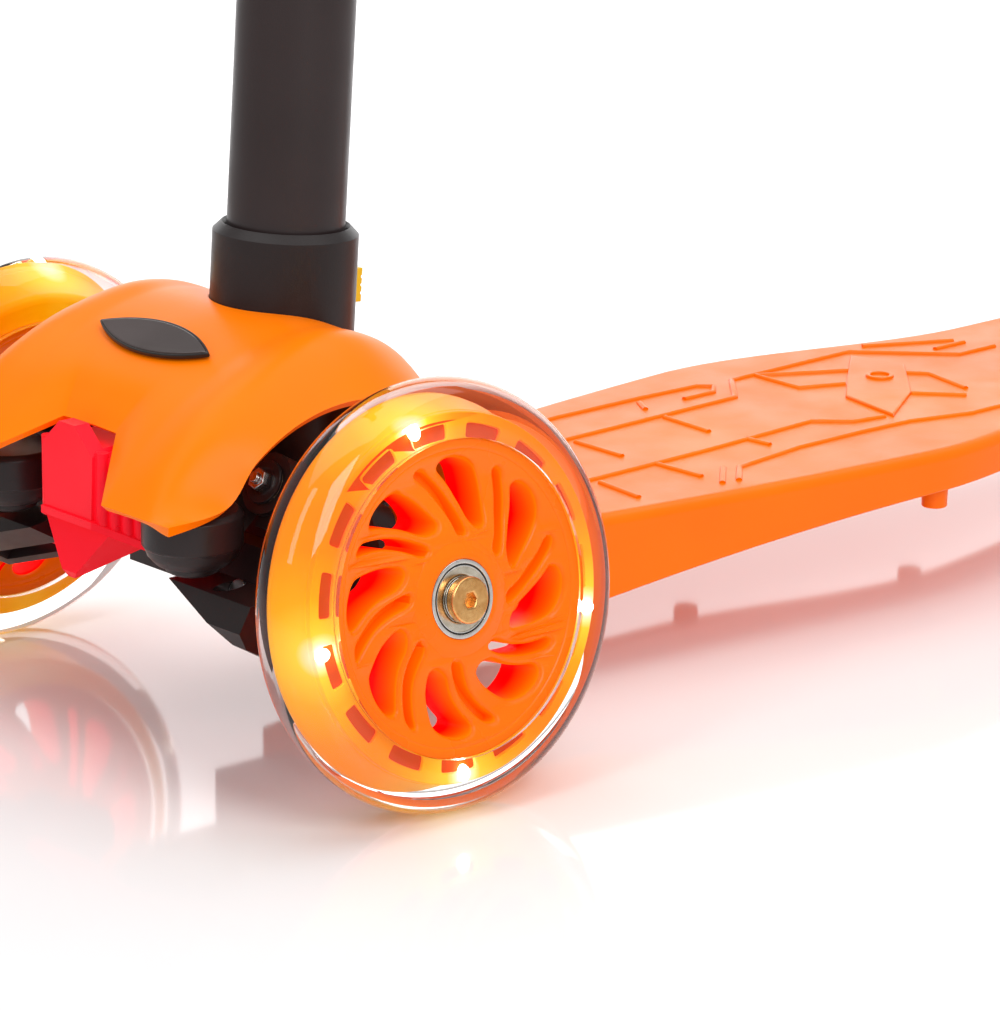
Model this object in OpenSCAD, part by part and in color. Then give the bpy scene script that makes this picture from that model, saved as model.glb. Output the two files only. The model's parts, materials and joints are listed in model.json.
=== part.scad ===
// Three-wheeled lean-to-steer kick scooter for a small child.
// +X is forwards, +Y is the rider's left, +Z is up, and the ground is Z = 0.

/* [Front wheels] */
// Outer diameter of a front wheel
front_wheel_d = 120; // [118:1:122]
// Distance between the two front wheel centres
front_track = 194; // [192:1:198]
// Lean of each front wheel, its top towards the middle, in degrees
camber = 8; // [7:0.5:8.5]
// Number of windows round a front wheel core
window_count = 8; // [6:1:9]

/* [Steering] */
// Tilt of the steering pivots, front end up, in degrees
pivot_tilt = 30; // [28:1:32]
// Distance of each steering pivot from the middle
pivot_y = 50; // [49:0.5:51]
// Distance from a steering pivot to its tie link pin
link_arm = 30; // [29:0.5:31]

/* [Deck] */
// Height of the standing surface
deck_top_z = 50; // [49:0.5:51]
// Wall thickness of the deck moulding
deck_wall = 3; // [2.5:0.5:3.5]

/* [Rear wheels] */
// Outer diameter of a rear wheel
rear_wheel_d = 80; // [79:1:80]
// Distance from the front axle back to the rear axle
wheelbase = 437; // [432:1:442]

/* [Handlebar] */
// Backwards lean of the handlebar column, in degrees
stem_lean = 3.7; // [3:0.1:4.5]
// Outer diameter of the lower tube
lower_tube_d = 34; // [33.8:0.1:34]
// Outer diameter of the upper tube
upper_tube_d = 28.6; // [28:0.1:28.8]
// Length of the lower tube
lower_tube_len = 400; // [380:5:420]
// Width over the grips
bar_width = 248; // [240:2:256]

/* [Hidden] */
$fn = 64;

orange = [0.99, 0.49, 0.02];
pale_orange = [1.0, 0.68, 0.25];
red = [0.85, 0.05, 0.1];
black = [0.12, 0.1, 0.1];
steel = [0.72, 0.72, 0.72];
zinc = [0.8, 0.62, 0.4];
clear = [0.95, 0.92, 0.88, 0.5];
yellow = [0.98, 0.8, 0.1];

// Front axle line and rear axle line, measured from the middle of the object's length
front_x = 208.5;
rear_x = front_x - wheelbase;

// Front wheel: a round tyre of ball section on a moulded core
tyre_section_r = 12;
tyre_ring_r = front_wheel_d / 2 - tyre_section_r;
front_hub_z = tyre_ring_r * cos(camber) + tyre_section_r;
core_rim_r = 43.9;
core_half_w = 9;
hub_half_w = 11;
hub_r = 16.5;
face_rim_r = 41;
light_ring_r = 50.5;
light_ring_half_w = 6.5;
led_angles = [7, 86, 166, 282];
led_r = 2;
led_ring_r = 48.3;

// Skate bearing, 22 x 8 x 7
bearing_r = 11;
bearing_bore_r = 4.05;
bearing_w = 7;
axle_r = 4;

// Rear wheel
rear_r = rear_wheel_d / 2;
rear_half_w = 12;
rear_y = 14.6;
rear_rim_r = 28;
cheek_in_y = 33;
cheek_out_y = 42;

// Steering pivot: middle of the arm's lug, from the front axle line
pivot_dx = 12.6;
pivot_z = 80;
lug_r = 9;
lug_half = 10;
pivot_head_z = 34;
pivot_thread_r = 1.5;
eye_r = 7;
link_pin_r = 3;

// Column, measured along its own axis from its foot in the front frame
stem_foot_dx = -21.9;
stem_foot_z = 60;
collar_r = 21;
collar_low = 30.2;
collar_top = 82.5;
tube_wall = 2;
upper_low = 150;
upper_len = 417;
bar_s = 576;
bar_r = 11;
grip_r = 15;
clamp_low = lower_tube_len - 20;
clamp_h = 28;
clamp_r = 21;
clamp_bolt_x = -29;
lever_pivot_y = 15;

// Rear brake
brake_pin_dx = 52;
brake_pin_z = 62;
fender_in_r = 44;
fender_out_r = 47;
fender_half_w = 30;

// ---- places -------------------------------------------------------------

module at_front() translate([front_x, 0, 0]) children();

module at_rear() translate([rear_x, 0, rear_r]) rotate([-90, 0, 0]) children();

// Local Z runs outwards along the wheel's own axle
module wheel_place(side)
    translate([front_x, side * front_track / 2, front_hub_z])
    rotate([0, 0, side > 0 ? 0 : 180])
    rotate([camber - 90, 0, 0])
    children();

// Local Z runs along the steering pivot, forwards and up, and local X towards the link pin
module pivot_place(side)
    translate([front_x + pivot_dx, side * pivot_y, pivot_z])
    rotate([0, 90 - pivot_tilt, 0])
    children();

// Local Z runs up the handlebar column
module stem_place()
    translate([front_x + stem_foot_dx, 0, stem_foot_z])
    rotate([0, -stem_lean, 0])
    children();

module ring(outer_r, inner_r, low, high)
    translate([0, 0, low])
    difference() {
        cylinder(r = outer_r, h = high - low);
        translate([0, 0, -1]) cylinder(r = inner_r, h = high - low + 2);
    }

// ---- deck ---------------------------------------------------------------

deck_front_dx = -47;
// Tongue of the front frame that the deck is screwed down on
tongue_half_w = 26;
tongue_low_z = 28;
tongue_top_z = 36;
deck_back_dx = -402;
deck_steps = 18;
slot_front_dx = -388;

// Half width of the deck at a distance dx behind the front axle, less an inset
function deck_u(dx) = (dx + 250) / 150;
function deck_waist(dx) = 64.6 - 11.3 * deck_u(dx) - 7.3 * pow(deck_u(dx), 2);
// The plan draws in smoothly behind taper_dx to the width of the rear cheeks
taper_dx = -235;
taper_len = 120;
function taper(t) = let (e = min(1, max(0, t)))
    deck_waist(taper_dx) * (2 * pow(e, 3) - 3 * e * e + 1) + cheek_out_y * (3 * e * e - 2 * pow(e, 3))
    + 10 * (pow(e, 3) - 2 * e * e + e);
function deck_half(dx, inset = 0) =
    (dx > taper_dx ? deck_waist(dx) : taper((taper_dx - dx) / taper_len)) - inset;

// Lower edge of the deck's side wall: a long shallow arch
function deck_low(dx) = max(23, 37.2 - 3.4 * deck_u(dx) - 11.7 * pow(deck_u(dx), 2));

function deck_side(inset) = [
    for (i = [0:deck_steps])
    let (dx = deck_front_dx + (deck_back_dx - deck_front_dx) * i / deck_steps)
    [i == 0 ? dx - inset : dx, deck_half(dx, inset)]
];
function deck_end(inset) = [
    [deck_back_dx - 24, cheek_out_y - inset],
    [-wheelbase - 22 + inset, cheek_out_y - inset]
];
function deck_outline(inset) = concat(deck_side(inset), deck_end(inset));
function mirrored(points) = concat(points, [for (i = [len(points) - 1:-1:0]) [points[i][0], -points[i][1]]]);

module deck_plan(inset) polygon(mirrored(deck_outline(inset)));

// The side view that trims the moulding: arched below, flat on top, round at the rear axle
module deck_profile() {
    polygon(concat(
        [for (i = [0:deck_steps])
            let (dx = deck_front_dx + 1 + (deck_back_dx - deck_front_dx) * i / deck_steps)
            [dx, deck_low(dx)]],
        [[-wheelbase + 14, 28], [-wheelbase - 10, 28], [-wheelbase - 14, 44], [deck_back_dx - 14, deck_top_z],
        [deck_front_dx + 1, deck_top_z]]));
    translate([-wheelbase, rear_r]) circle(r = 16);
}

module deck_side_cut(depth)
    translate([0, depth, 0])
    rotate([90, 0, 0])
    linear_extrude(2 * depth)
    deck_profile();

module deck_bosses() {
    for (dx = [-62, -84], y = [-18, 18])
        translate([dx, y, tongue_top_z + 0.1]) cylinder(r = 5.5, h = deck_top_z - deck_wall - tongue_top_z);
    for (p = [[-243, 55], [-330, 36]], side = [-1, 1])
        translate([p[0], side * p[1], 29.5]) cylinder(r = 4, h = deck_top_z - deck_wall - 29.4);
}

module deck_ribs() {
    for (y = [-26, 0, 26])
        translate([-372, y - 1.2, 38]) cube([270, 2.4, deck_top_z - deck_wall - 37.9]);
    for (dx = [-372:45:-110])
        translate([dx - 1.2, -deck_half(dx) + 1, 40])
        cube([2.4, 2 * deck_half(dx) - 2, deck_top_z - deck_wall - 39.9]);
}

module deck() color(orange) at_front() {
    difference() {
        union() {
            difference() {
                intersection() {
                    union() {
                        linear_extrude(deck_top_z - 2) deck_plan(0);
                        linear_extrude(deck_top_z - 0.7) deck_plan(0.7);
                        linear_extrude(deck_top_z) deck_plan(2);
                    }
                    deck_side_cut(80);
                }
                // the hollow underside ends at a wall in front of the rear wheels
                intersection() {
                    linear_extrude(deck_top_z - deck_wall) deck_plan(deck_wall);
                    translate([slot_front_dx + deck_wall, -80, 0]) cube([400, 160, 60]);
                }
                translate([-wheelbase - 60, -cheek_in_y, -1])
                    cube([60 + wheelbase + slot_front_dx, 2 * cheek_in_y, 80]);
            }
            deck_bosses();
            deck_ribs();
            for (y = [-cheek_out_y + 1, cheek_in_y])
                translate([brake_pin_dx - wheelbase, y, 0]) {
                    translate([0, 0, brake_pin_z]) rotate([-90, 0, 0]) cylinder(r = 6, h = 8);
                    translate([-6, 0, deck_top_z - 8]) cube([12, 8, brake_pin_z - deck_top_z + 8]);
                }
        }
        // opening in the front wall for the frame's tongue
        translate([deck_front_dx - deck_wall - 2, -tongue_half_w - 0.4, 0])
            cube([deck_wall + 6, 2 * tongue_half_w + 0.8, tongue_top_z + 0.4]);
        // axle and brake pin holes, screw holes from below
        translate([-wheelbase, -50, rear_r]) rotate([-90, 0, 0]) cylinder(r = axle_r, h = 100);
        translate([brake_pin_dx - wheelbase, -50, brake_pin_z]) rotate([-90, 0, 0]) cylinder(r = 2.5, h = 100);
        for (dx = [-62, -84], y = [-18, 18])
            translate([dx, y, 30]) cylinder(r = 2, h = 15);
    }
}

module cap_screw(shank_r, shank_len, head_r, head_h) {
    difference() {
        translate([0, 0, -head_h]) cylinder(r = head_r, h = head_h);
        translate([0, 0, -head_h - 1]) cylinder(r = head_r * 0.5, h = head_h * 0.6 + 1, $fn = 6);
    }
    translate([0, 0, -0.01]) cylinder(r = shank_r, h = shank_len);
}

module deck_screws() color(steel) at_front()
    for (dx = [-62, -84], y = [-18, 18])
        translate([dx, y, tongue_low_z - 0.1]) cap_screw(1.95, 15, 4, 2.5);

// ---- front frame --------------------------------------------------------

block_low_z = 44;
block_top_z = 78;

module front_frame() color(black) difference() {
    union() {
        at_front() {
            translate([-44, -24, block_low_z]) cube([56, 48, block_top_z - block_low_z]);
            // nose that carries the truck cover, above the tie link
            translate([11, -20, cover_low_z]) cube([7, 40, block_top_z - cover_low_z]);
            translate([-92, -tongue_half_w, tongue_low_z])
                cube([52, 2 * tongue_half_w, tongue_top_z - tongue_low_z]);
            translate([deck_front_dx + 0.5, -tongue_half_w, tongue_low_z]) cube([26, 2 * tongue_half_w, 26]);
            // cross beam out to the two pivot bosses
            translate([-24, -49, 56]) cube([18, 98, 15]);
        }
        for (side = [-1, 1])
            pivot_place(side) {
                translate([0, 0, -pivot_head_z]) cylinder(r = lug_r, h = pivot_head_z - lug_half - 0.4);
            }
        stem_place() translate([0, 0, -14]) cylinder(r = 20, h = 14 + collar_low - 0.2);
    }
    stem_place() cylinder(r = lower_tube_d / 2 + 0.1, h = 60);
    for (side = [-1, 1])
        pivot_place(side) {
            translate([0, 0, -60]) cylinder(r = axle_r, h = 70);
            translate([0, 0, -60]) cylinder(r = 7.5, h = 60 - pivot_head_z);
        }
    at_front()
        for (dx = [-62, -84], y = [-18, 18])
            translate([dx, y, 20]) cylinder(r = 2.2, h = 30);
    // screw holes for the shroud
    at_front() for (y = [-post_y, post_y]) translate([post_dx, y, 40]) cylinder(r = 1.6, h = 50);
}

// ---- collar -------------------------------------------------------------

button_s = 63;
button_half = 5;
button_out = 4.5;

module stem_collar() color(black) stem_place() difference() {
    union() {
        ring(collar_r, lower_tube_d / 2 + 0.1, collar_low, collar_top - 3);
        rotate_extrude()
            polygon([[lower_tube_d / 2 + 0.1, collar_top - 3.01], [collar_r, collar_top - 3.01],
                [collar_r, collar_top - 2.4], [collar_r - 2.4, collar_top], [lower_tube_d / 2 + 1.4, collar_top],
                [lower_tube_d / 2 + 0.1, collar_top - 1.6]]);
    }
    translate([-collar_r - 2, -button_half - 0.2, button_s - button_half - 0.2])
        cube([8, 2 * button_half + 0.4, 2 * button_half + 0.4]);
}

module release_button() color(yellow) stem_place() difference() {
    translate([-collar_r - button_out, -button_half, button_s - button_half])
        cube([button_out + 2.2, 2 * button_half, 2 * button_half]);
    for (i = [-1, 0, 1])
        translate([-collar_r - button_out - 0.4, -button_half - 1, button_s + 2.4 * i - 0.4])
        cube([0.8, 2 * button_half + 2, 0.8]);
}

// ---- shroud -------------------------------------------------------------

// Rows run from the back foot to the front edge.  A row has five stations on
// each side: middle, crease, inner lobe, ridge and outer edge.
arch_dx = -1;
arch_z = 51.7;
arch_r = 54.9;
shroud_edge_y = 60;
shroud_mid = [[-57, 52], [-54, 75], [-46, 97], [-34, 112], [-20, 119.5], [-5, 121.5], [10, 118.8],
    [22, 114.5], [34, 108], [40, 101.5], [44, 95.6]];
shroud_ridge = [[-57, 52], [-54, 74], [-47, 94], [-36, 109], [-22, 117], [-7, 120], [8, 118], [24, 113],
    [40, 104.5], [53, 93.5], [64, 82.5]];
shroud_rows = len(shroud_mid) - 1;
shroud_wall_scale = 0.965;
shroud_core = [0, 0, 40];

function mix(a, b, t) = a * (1 - t) + b * t;
function ridge_y(i) = 38 + 12 * i / shroud_rows;
function crease_y(i) = i < 8 ? 16 : 16 - 2 * (i - 8);
function lobe_share(i) = i < 8 ? 0.45 : i == 8 ? 0.8 : 1;
function lobe_y(i) = 28 + 0.3 * i;
function arch_point(i) =
    let (a = 180 - 16 * i)
    [arch_dx + arch_r * cos(a), arch_z + arch_r * sin(a)];
function edge_point(i) = i < shroud_rows ? arch_point(i) : [63.5, 82.5];
function half_row(i) =
    let (m = shroud_mid[i], r = shroud_ridge[i], e = edge_point(i), l = mix(m, r, lobe_share(i)))
    [[m[0], 0, m[1]], [m[0], crease_y(i), m[1] - 0.3], [l[0], lobe_y(i), l[1]],
        [r[0], ridge_y(i), r[1]], [e[0], shroud_edge_y, e[1]]];
function full_row(i) =
    let (h = half_row(i))
    concat([for (k = [4:-1:1]) [h[k][0], -h[k][1], h[k][2]]], h);

function clamp_index(i, n) = max(0, min(n, i));
function smooth_at(list, t) =
    let (n = len(list) - 1, k = min(floor(t), n - 1), f = t - k,
        a = list[clamp_index(k - 1, n)], b = list[k], c = list[k + 1], d = list[clamp_index(k + 2, n)])
    b + 0.5 * f * (c - a + f * (2 * a - 5 * b + 4 * c - d + f * (3 * (b - c) + d - a)));

shroud_net = [for (i = [0:shroud_rows]) full_row(i)];
along_steps = 2 * shroud_rows;
across_steps = 16;
function across_row(i) = [for (j = [0:across_steps]) smooth_at(shroud_net[i], j * 8 / across_steps)];
shroud_lines = [for (i = [0:shroud_rows]) across_row(i)];
shroud_outer = [
    for (i = [0:along_steps], j = [0:across_steps])
    smooth_at([for (line = shroud_lines) line[j]], i * shroud_rows / along_steps)
];
shroud_inner = [for (p = shroud_outer) shroud_core + (p - shroud_core) * shroud_wall_scale];
shroud_count = len(shroud_outer);
function at(i, j) = i * (across_steps + 1) + j;
function below(i, j) = shroud_count + at(i, j);
shroud_faces = concat(
    [for (i = [0:along_steps - 1], j = [0:across_steps - 1]) each [
        [at(i, j), at(i, j + 1), at(i + 1, j)], [at(i + 1, j), at(i, j + 1), at(i + 1, j + 1)],
        [below(i, j), below(i + 1, j), below(i, j + 1)],
        [below(i + 1, j), below(i + 1, j + 1), below(i, j + 1)]]],
    [for (i = [0:along_steps - 1]) each [
        [at(i, 0), at(i + 1, 0), below(i, 0)], [at(i + 1, 0), below(i + 1, 0), below(i, 0)],
        [at(i, across_steps), below(i, across_steps), at(i + 1, across_steps)],
        [at(i + 1, across_steps), below(i, across_steps), below(i + 1, across_steps)]]],
    [for (j = [0:across_steps - 1]) each [
        [at(0, j), below(0, j), at(0, j + 1)], [at(0, j + 1), below(0, j), below(0, j + 1)],
        [at(along_steps, j), at(along_steps, j + 1), below(along_steps, j)],
        [at(along_steps, j + 1), below(along_steps, j + 1), below(along_steps, j)]]]);

// Two posts under the shroud stand on the front frame and take its screws from below
post_dx = 2;
post_y = 20;
post_top_z = 119;

module shroud() color(orange) difference() {
    union() {
        at_front() polyhedron(points = concat(shroud_outer, shroud_inner), faces = shroud_faces);
        at_front()
            for (y = [-post_y, post_y])
                translate([post_dx, y, block_top_z + 0.1]) cylinder(r = 4.5, h = post_top_z - block_top_z);
    }
    stem_place() translate([0, 0, 28]) cylinder(r = collar_r + 0.3, h = 54);
    at_front() for (y = [-post_y, post_y]) translate([post_dx, y, 60]) cylinder(r = 1.6, h = 34);
}

module shroud_screws() color(steel) at_front()
    for (y = [-post_y, post_y])
        translate([post_dx, y, block_low_z - 0.1]) cap_screw(1.55, 48, 3.4, 2.2);

// Lens-shaped plate let into the top of the shroud
module lens(half_len, half_w)
    let (r = (half_len * half_len + half_w * half_w) / (2 * half_w))
    intersection() {
        translate([half_w - r, 0]) circle(r = r);
        translate([r - half_w, 0]) circle(r = r);
    }

module badge() color([0.3, 0.2, 0.2]) at_front()
    translate([20.5, 0, 115.6]) rotate([0, 24, 0]) {
        translate([0, 0, 0.3]) linear_extrude(1) lens(25, 7);
        translate([0, 0, 1.2]) linear_extrude(0.6) lens(23.5, 6.2);
    }

// ---- truck cover --------------------------------------------------------

cover_low_z = 69;
cover_back_dx = 18.3;
cover_front_dx = 52;
cover_half = 11.5;
cover_wing = 24.5;
// The part that lies under the shroud is lower
cover_step_dx = 47;
cover_step_z = 91;

// Flat shape in Y and Z made solid between two places along the scooter
module cross_plate(back_dx, front_dx)
    translate([back_dx, 0, 0])
    rotate([90, 0, 90])
    linear_extrude(front_dx - back_dx)
    children();

// Plan of the cover, drawn in by the given amount along its front and sides
module swept_plan(inset)
    translate([0, 0, 50])
    linear_extrude(50)
    polygon([for (side = [-1, 1], i = [0:2]) let (j = side < 0 ? i : 2 - i)
        [[cover_back_dx, cover_front_dx - 12 - inset, cover_front_dx - inset][j],
            side * [cover_wing - inset, cover_wing - inset, cover_half][j]]]);

module truck_cover() color(red) at_front() difference() {
    union() {
        cross_plate(cover_back_dx, cover_front_dx)
            polygon([[-cover_half + 1, cover_low_z], [-cover_half, 89.5], [-cover_half + 8, 97],
                [cover_half - 8, 97], [cover_half, 89.5], [cover_half - 1, cover_low_z]]);
        intersection() {
            cross_plate(cover_back_dx, cover_front_dx)
                polygon([[-cover_wing + 1, 65], [-cover_half, cover_low_z], [cover_half, cover_low_z],
                    [cover_wing - 1, 65], [cover_wing - 1, 86], [12, 90], [-12, 90], [-cover_wing + 1, 86]]);
            swept_plan(1);
        }
        // pleats down each swept-back side of the nose
        for (side = [-1, 1], k = [0:4])
            translate([49.2 - 2.35 * k, side * (12.4 + 2.55 * k), 69.2 - 1.15 * k])
            cylinder(r = 1.9, h = 21.5 - 0.2 * k);
        // lip along the lower edge
        intersection() {
            cross_plate(cover_back_dx, cover_front_dx + 2)
                polygon([[-cover_wing, 65], [-cover_half, 71], [cover_half, 71], [cover_wing, 65],
                    [cover_wing, 62.8], [cover_half, 68.8], [-cover_half, 68.8], [-cover_wing, 62.8]]);
            swept_plan(-0.8);
        }
        // pointed chin below the nose
        intersection() {
            cross_plate(30, cover_front_dx) polygon([[-17, cover_low_z + 1], [17, cover_low_z + 1], [1.5, 52], [-1.5, 52]]);
            translate([0, 30, 0]) rotate([90, 0, 0]) linear_extrude(60)
                polygon([[30, 58.5], [51, 52], [52, 54], [48, cover_low_z + 1], [30, cover_low_z + 1]]);
        }
    }
    translate([0, -40, cover_step_z]) cube([cover_step_dx, 80, 20]);
    for (side = [-1, 1])
        translate([housing_dx, side * housing_y, 40]) cylinder(r = housing_r + 0.3, h = 70);
}

// ---- steering -----------------------------------------------------------

housing_dx = 41;
housing_y = 42;
housing_r = 14.2;
housing_low = 61.5;
housing_top = 80;

module spring_housings() color(black) at_front()
    for (side = [-1, 1])
        translate([housing_dx, side * housing_y, 0]) difference() {
            rotate_extrude() {
                polygon([[0, housing_low], [6, housing_low], [7.6, housing_low + 0.8], [8, housing_low + 2.4],
                    [10.4, housing_low + 3], [12.6, housing_low + 5.4], [13.6, housing_low + 8],
                    [housing_r, housing_low + 8.4], [housing_r, housing_top - 1.5], [housing_r - 1.5, housing_top],
                    [0, housing_top]]);
            }
            translate([0, 0, housing_low + 5.9]) cylinder(r = 9.2, h = housing_top - housing_low - 8.4);
        }

module centring_springs() color(steel) at_front()
    for (side = [-1, 1])
        translate([housing_dx, side * housing_y, housing_low + 6]) {
            for (k = [0:2]) translate([0, 0, 3.6 * k]) ring(8.6, 5.2, 0, 2.8);
            ring(6, 4, 0, 9.8);
        }

module pivot_bolts() color(steel)
    for (side = [-1, 1])
        pivot_place(side) {
            translate([0, 0, -pivot_head_z]) cylinder(r = axle_r - 0.02, h = pivot_head_z + lug_half + 0.2);
            cylinder(r = pivot_thread_r - 0.02, h = lug_half + 5.6);
            translate([0, 0, -pivot_head_z - 4]) cylinder(r = 6.8, h = 4, $fn = 6);
        }

module pivot_nuts() color(steel)
    for (side = [-1, 1])
        pivot_place(side) difference() {
            union() {
                translate([0, 0, lug_half + 0.25]) cylinder(r = 6.4, h = 1.2);
                translate([0, 0, lug_half + 1.4]) cylinder(r = 3.2, h = 3, $fn = 6);
            }
            cylinder(r = pivot_thread_r, h = 30);
        }

plate_in_y = 11;
plate_w = 7;
// Axle boss centre, in the pivot's own X and Z
boss_x = 15.35;
boss_z = -23.4;
boss_r = 10;
fork_back = 9;
fork_front = 14;
link_back = 5;
link_t = 6;

module steering_arm(side) color(black) difference() {
    union() {
        pivot_place(side) {
            translate([0, 0, -lug_half]) cylinder(r = lug_r, h = 2 * lug_half);
            // fork that reaches down and forwards round the end of the tie link
            intersection() {
                translate([0, 0, -20]) linear_extrude(40)
                    polygon([for (p = [[4, -6.4], [24, -15.5], [34, -18], [45, 12], [45, 18], [4, 18]]) [p[0], side * p[1]]]);
                translate([0, 30, 0]) rotate([90, 0, 0]) linear_extrude(60)
                    polygon([[4, -fork_back], [4, 1], [14, 1], [17, 3.5], [27, 3.5], [34, fork_front],
                        [42, fork_front], [46, 8], [46, -fork_back]]);
            }
            // shoulder from the pivot out to the side plate
            translate([-7, side > 0 ? 0 : -plate_in_y - plate_w, -lug_half])
                cube([19, plate_in_y + plate_w, 2 * lug_half - 2]);
            // side plate back to the axle boss
            translate([0, side > 0 ? plate_in_y + plate_w : -plate_in_y, 0]) rotate([90, 0, 0])
                linear_extrude(plate_w) {
                    polygon([[-7, -lug_half], [-7, lug_half], [18, lug_half],
                        [boss_x + boss_r, boss_z], [boss_x - boss_r, boss_z]]);
                    translate([boss_x, boss_z]) circle(r = boss_r);
                }
        }
        wheel_place(side) translate([0, 0, -31]) cylinder(r = boss_r - 1, h = 31 - hub_half_w - 3);
        wheel_place(side) translate([0, 0, -15]) cylinder(r = 6.2, h = 15 - hub_half_w - 0.3);
    }
    pivot_place(side) {
        translate([0, 0, -20]) cylinder(r = 6, h = 40);
        translate([link_arm, 0, -20]) cylinder(r = link_pin_r, h = 40);
        // slot for the tie link
        translate([20, side > 0 ? -30 : -9, -link_back - 0.2]) cube([40, 39, link_t + 0.4]);
    }
    wheel_place(side) translate([0, 0, -46]) cylinder(r = axle_r, h = 50);
}

module pivot_bush(side) color([0.55, 0.5, 0.4])
    pivot_place(side) ring(5.97, axle_r + 0.04, -lug_half, lug_half);

module link_pin(side) color(steel) pivot_place(side) translate([link_arm, 0, 0])
    translate([0, 0, -fork_back + 0.3]) cylinder(r = link_pin_r - 0.02, h = fork_back + 5.2);

link_mid_x = 22;
link_half = 5;
function link_line(offset) = [
    [link_arm + offset, -pivot_y], [link_arm + offset, -27], [link_mid_x + offset, -13],
    [link_mid_x + offset, 13], [link_arm + offset, 27], [link_arm + offset, pivot_y]
];

module tie_link() color(red)
    translate([front_x + pivot_dx, 0, pivot_z]) rotate([0, 90 - pivot_tilt, 0])
    translate([0, 0, -link_back]) difference() {
        union() {
            linear_extrude(link_t)
                polygon(concat(link_line(-link_half), [for (i = [5:-1:0]) link_line(link_half)[i]]));
            for (side = [-1, 1])
                translate([link_arm, side * pivot_y, 0]) cylinder(r = eye_r, h = link_t);
        }
        translate([link_arm, pivot_y, -1]) cylinder(r = link_pin_r + 0.04, h = 12);
        translate([link_arm, -pivot_y, -1]) cylinder(r = link_pin_r + 0.35, h = 12);
    }

// ---- front wheels -------------------------------------------------------

module axle_bolt(side) color(zinc) wheel_place(side) {
    translate([0, 0, -35]) cylinder(r = axle_r - 0.01, h = 35 + hub_half_w + 0.5);
    difference() {
        rotate_extrude() polygon([[0, hub_half_w + 0.4], [6.5, hub_half_w + 0.4], [6.5, hub_half_w + 2.6],
            [5.6, hub_half_w + 3.4], [0, hub_half_w + 3.4]]);
        translate([0, 0, hub_half_w + 1.4]) cylinder(r = 2.3, h = 4, $fn = 6);
    }
}

module magnet_sleeve(side) color(steel) wheel_place(side)
    ring(6.5, axle_r + 0.03, -(hub_half_w - bearing_w - 0.6), hub_half_w - bearing_w - 0.6);

// Swirl of a window or groove: the turn, in degrees, that goes with each radius
function swirl(r) = 26 * (r - 16) / 21;
function at_polar(r, a) = [r * cos(a), r * sin(a)];
window_turn = 13;
groove_turn = 33;
window_in_r = 18.5;
window_out_r = 38.4;
groove_in_r = 18.3;
groove_out_r = 38;
groove_half_w = 1.8;

// Quarter-round ends, so that an outline closes in a smooth nose of the given length
function nose(gap, length) = let (e = min(1, gap / length)) sqrt(max(0, 1 - (1 - e) * (1 - e)));
function window_half_w(r) = (2.3 + 4.3 * (r - window_in_r) / 20)
    * min(nose(r - window_in_r, 2.6), nose(window_out_r - r, 3.6));
function groove_half(r) = groove_half_w * min(nose(r - groove_in_r, 1.8), nose(groove_out_r - r, 1.8));
function to_degrees(arc, r) = arc / r * 180 / PI;
window_radii = [18.7, 19.4, 20.6, 23, 27, 31, 34.5, 36.4, 37.6, 38.2];
groove_radii = [18.5, 19, 20, 23, 27, 31, 35, 36.6, 37.4, 37.8];
function window_outline() = concat(
    [for (r = window_radii) at_polar(r, window_turn + swirl(r) - to_degrees(window_half_w(r), r))],
    [for (i = [len(window_radii) - 1:-1:0])
        let (r = window_radii[i])
        at_polar(r, window_turn + swirl(r) + to_degrees(window_half_w(r), r))]);
function groove_outline() = concat(
    [for (r = groove_radii) at_polar(r, groove_turn + swirl(r) - to_degrees(groove_half(r), r))],
    [for (i = [len(groove_radii) - 1:-1:0])
        let (r = groove_radii[i])
        at_polar(r, groove_turn + swirl(r) + to_degrees(groove_half(r), r))]);

module front_core() difference() {
    rotate_extrude() polygon([
        [9, -hub_half_w], [hub_r, -hub_half_w], [hub_r + 1, -core_half_w + 1.5],
        [face_rim_r - 1.5, -core_half_w + 1.5], [face_rim_r, -hub_half_w + 1],
        [core_rim_r - 0.6, -hub_half_w + 1], [core_rim_r, -hub_half_w + 2],
        [core_rim_r, hub_half_w - 2], [core_rim_r - 0.6, hub_half_w - 1], [face_rim_r, hub_half_w - 1],
        [face_rim_r - 1.5, core_half_w - 1.5], [hub_r + 1, core_half_w - 1.5], [hub_r, hub_half_w],
        [9, hub_half_w]]);
    for (z = [-hub_half_w - 0.1, hub_half_w - bearing_w - 0.1])
        translate([0, 0, z]) cylinder(r = bearing_r, h = bearing_w + 0.2);
    for (k = [0:window_count - 1])
        rotate([0, 0, 360 / window_count * k]) {
            translate([0, 0, -20]) linear_extrude(40) polygon(window_outline());
            // every second groove goes right through
            translate([0, 0, k % 2 == 0 ? -20 : core_half_w - 4]) linear_extrude(40) polygon(groove_outline());
        }
}

module front_tyre() difference() {
    rotate_extrude() intersection() {
        translate([tyre_ring_r, 0]) circle(r = tyre_section_r);
        translate([core_rim_r + 0.1, -20]) square([30, 40]);
    }
    ring(light_ring_r + 0.1, core_rim_r - 2, -light_ring_half_w - 0.1, light_ring_half_w + 0.1);
}

module light_ring() difference() {
    ring(light_ring_r, core_rim_r + 0.1, -light_ring_half_w, light_ring_half_w);
    for (a = led_angles)
        rotate([0, 0, a]) translate([led_ring_r, 0, 1]) cylinder(r = led_r + 0.05, h = 20);
}

module led_set() for (a = led_angles)
    rotate([0, 0, a]) translate([led_ring_r, 0, 1.1]) cylinder(r = led_r, h = light_ring_half_w - 1.2);

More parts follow.
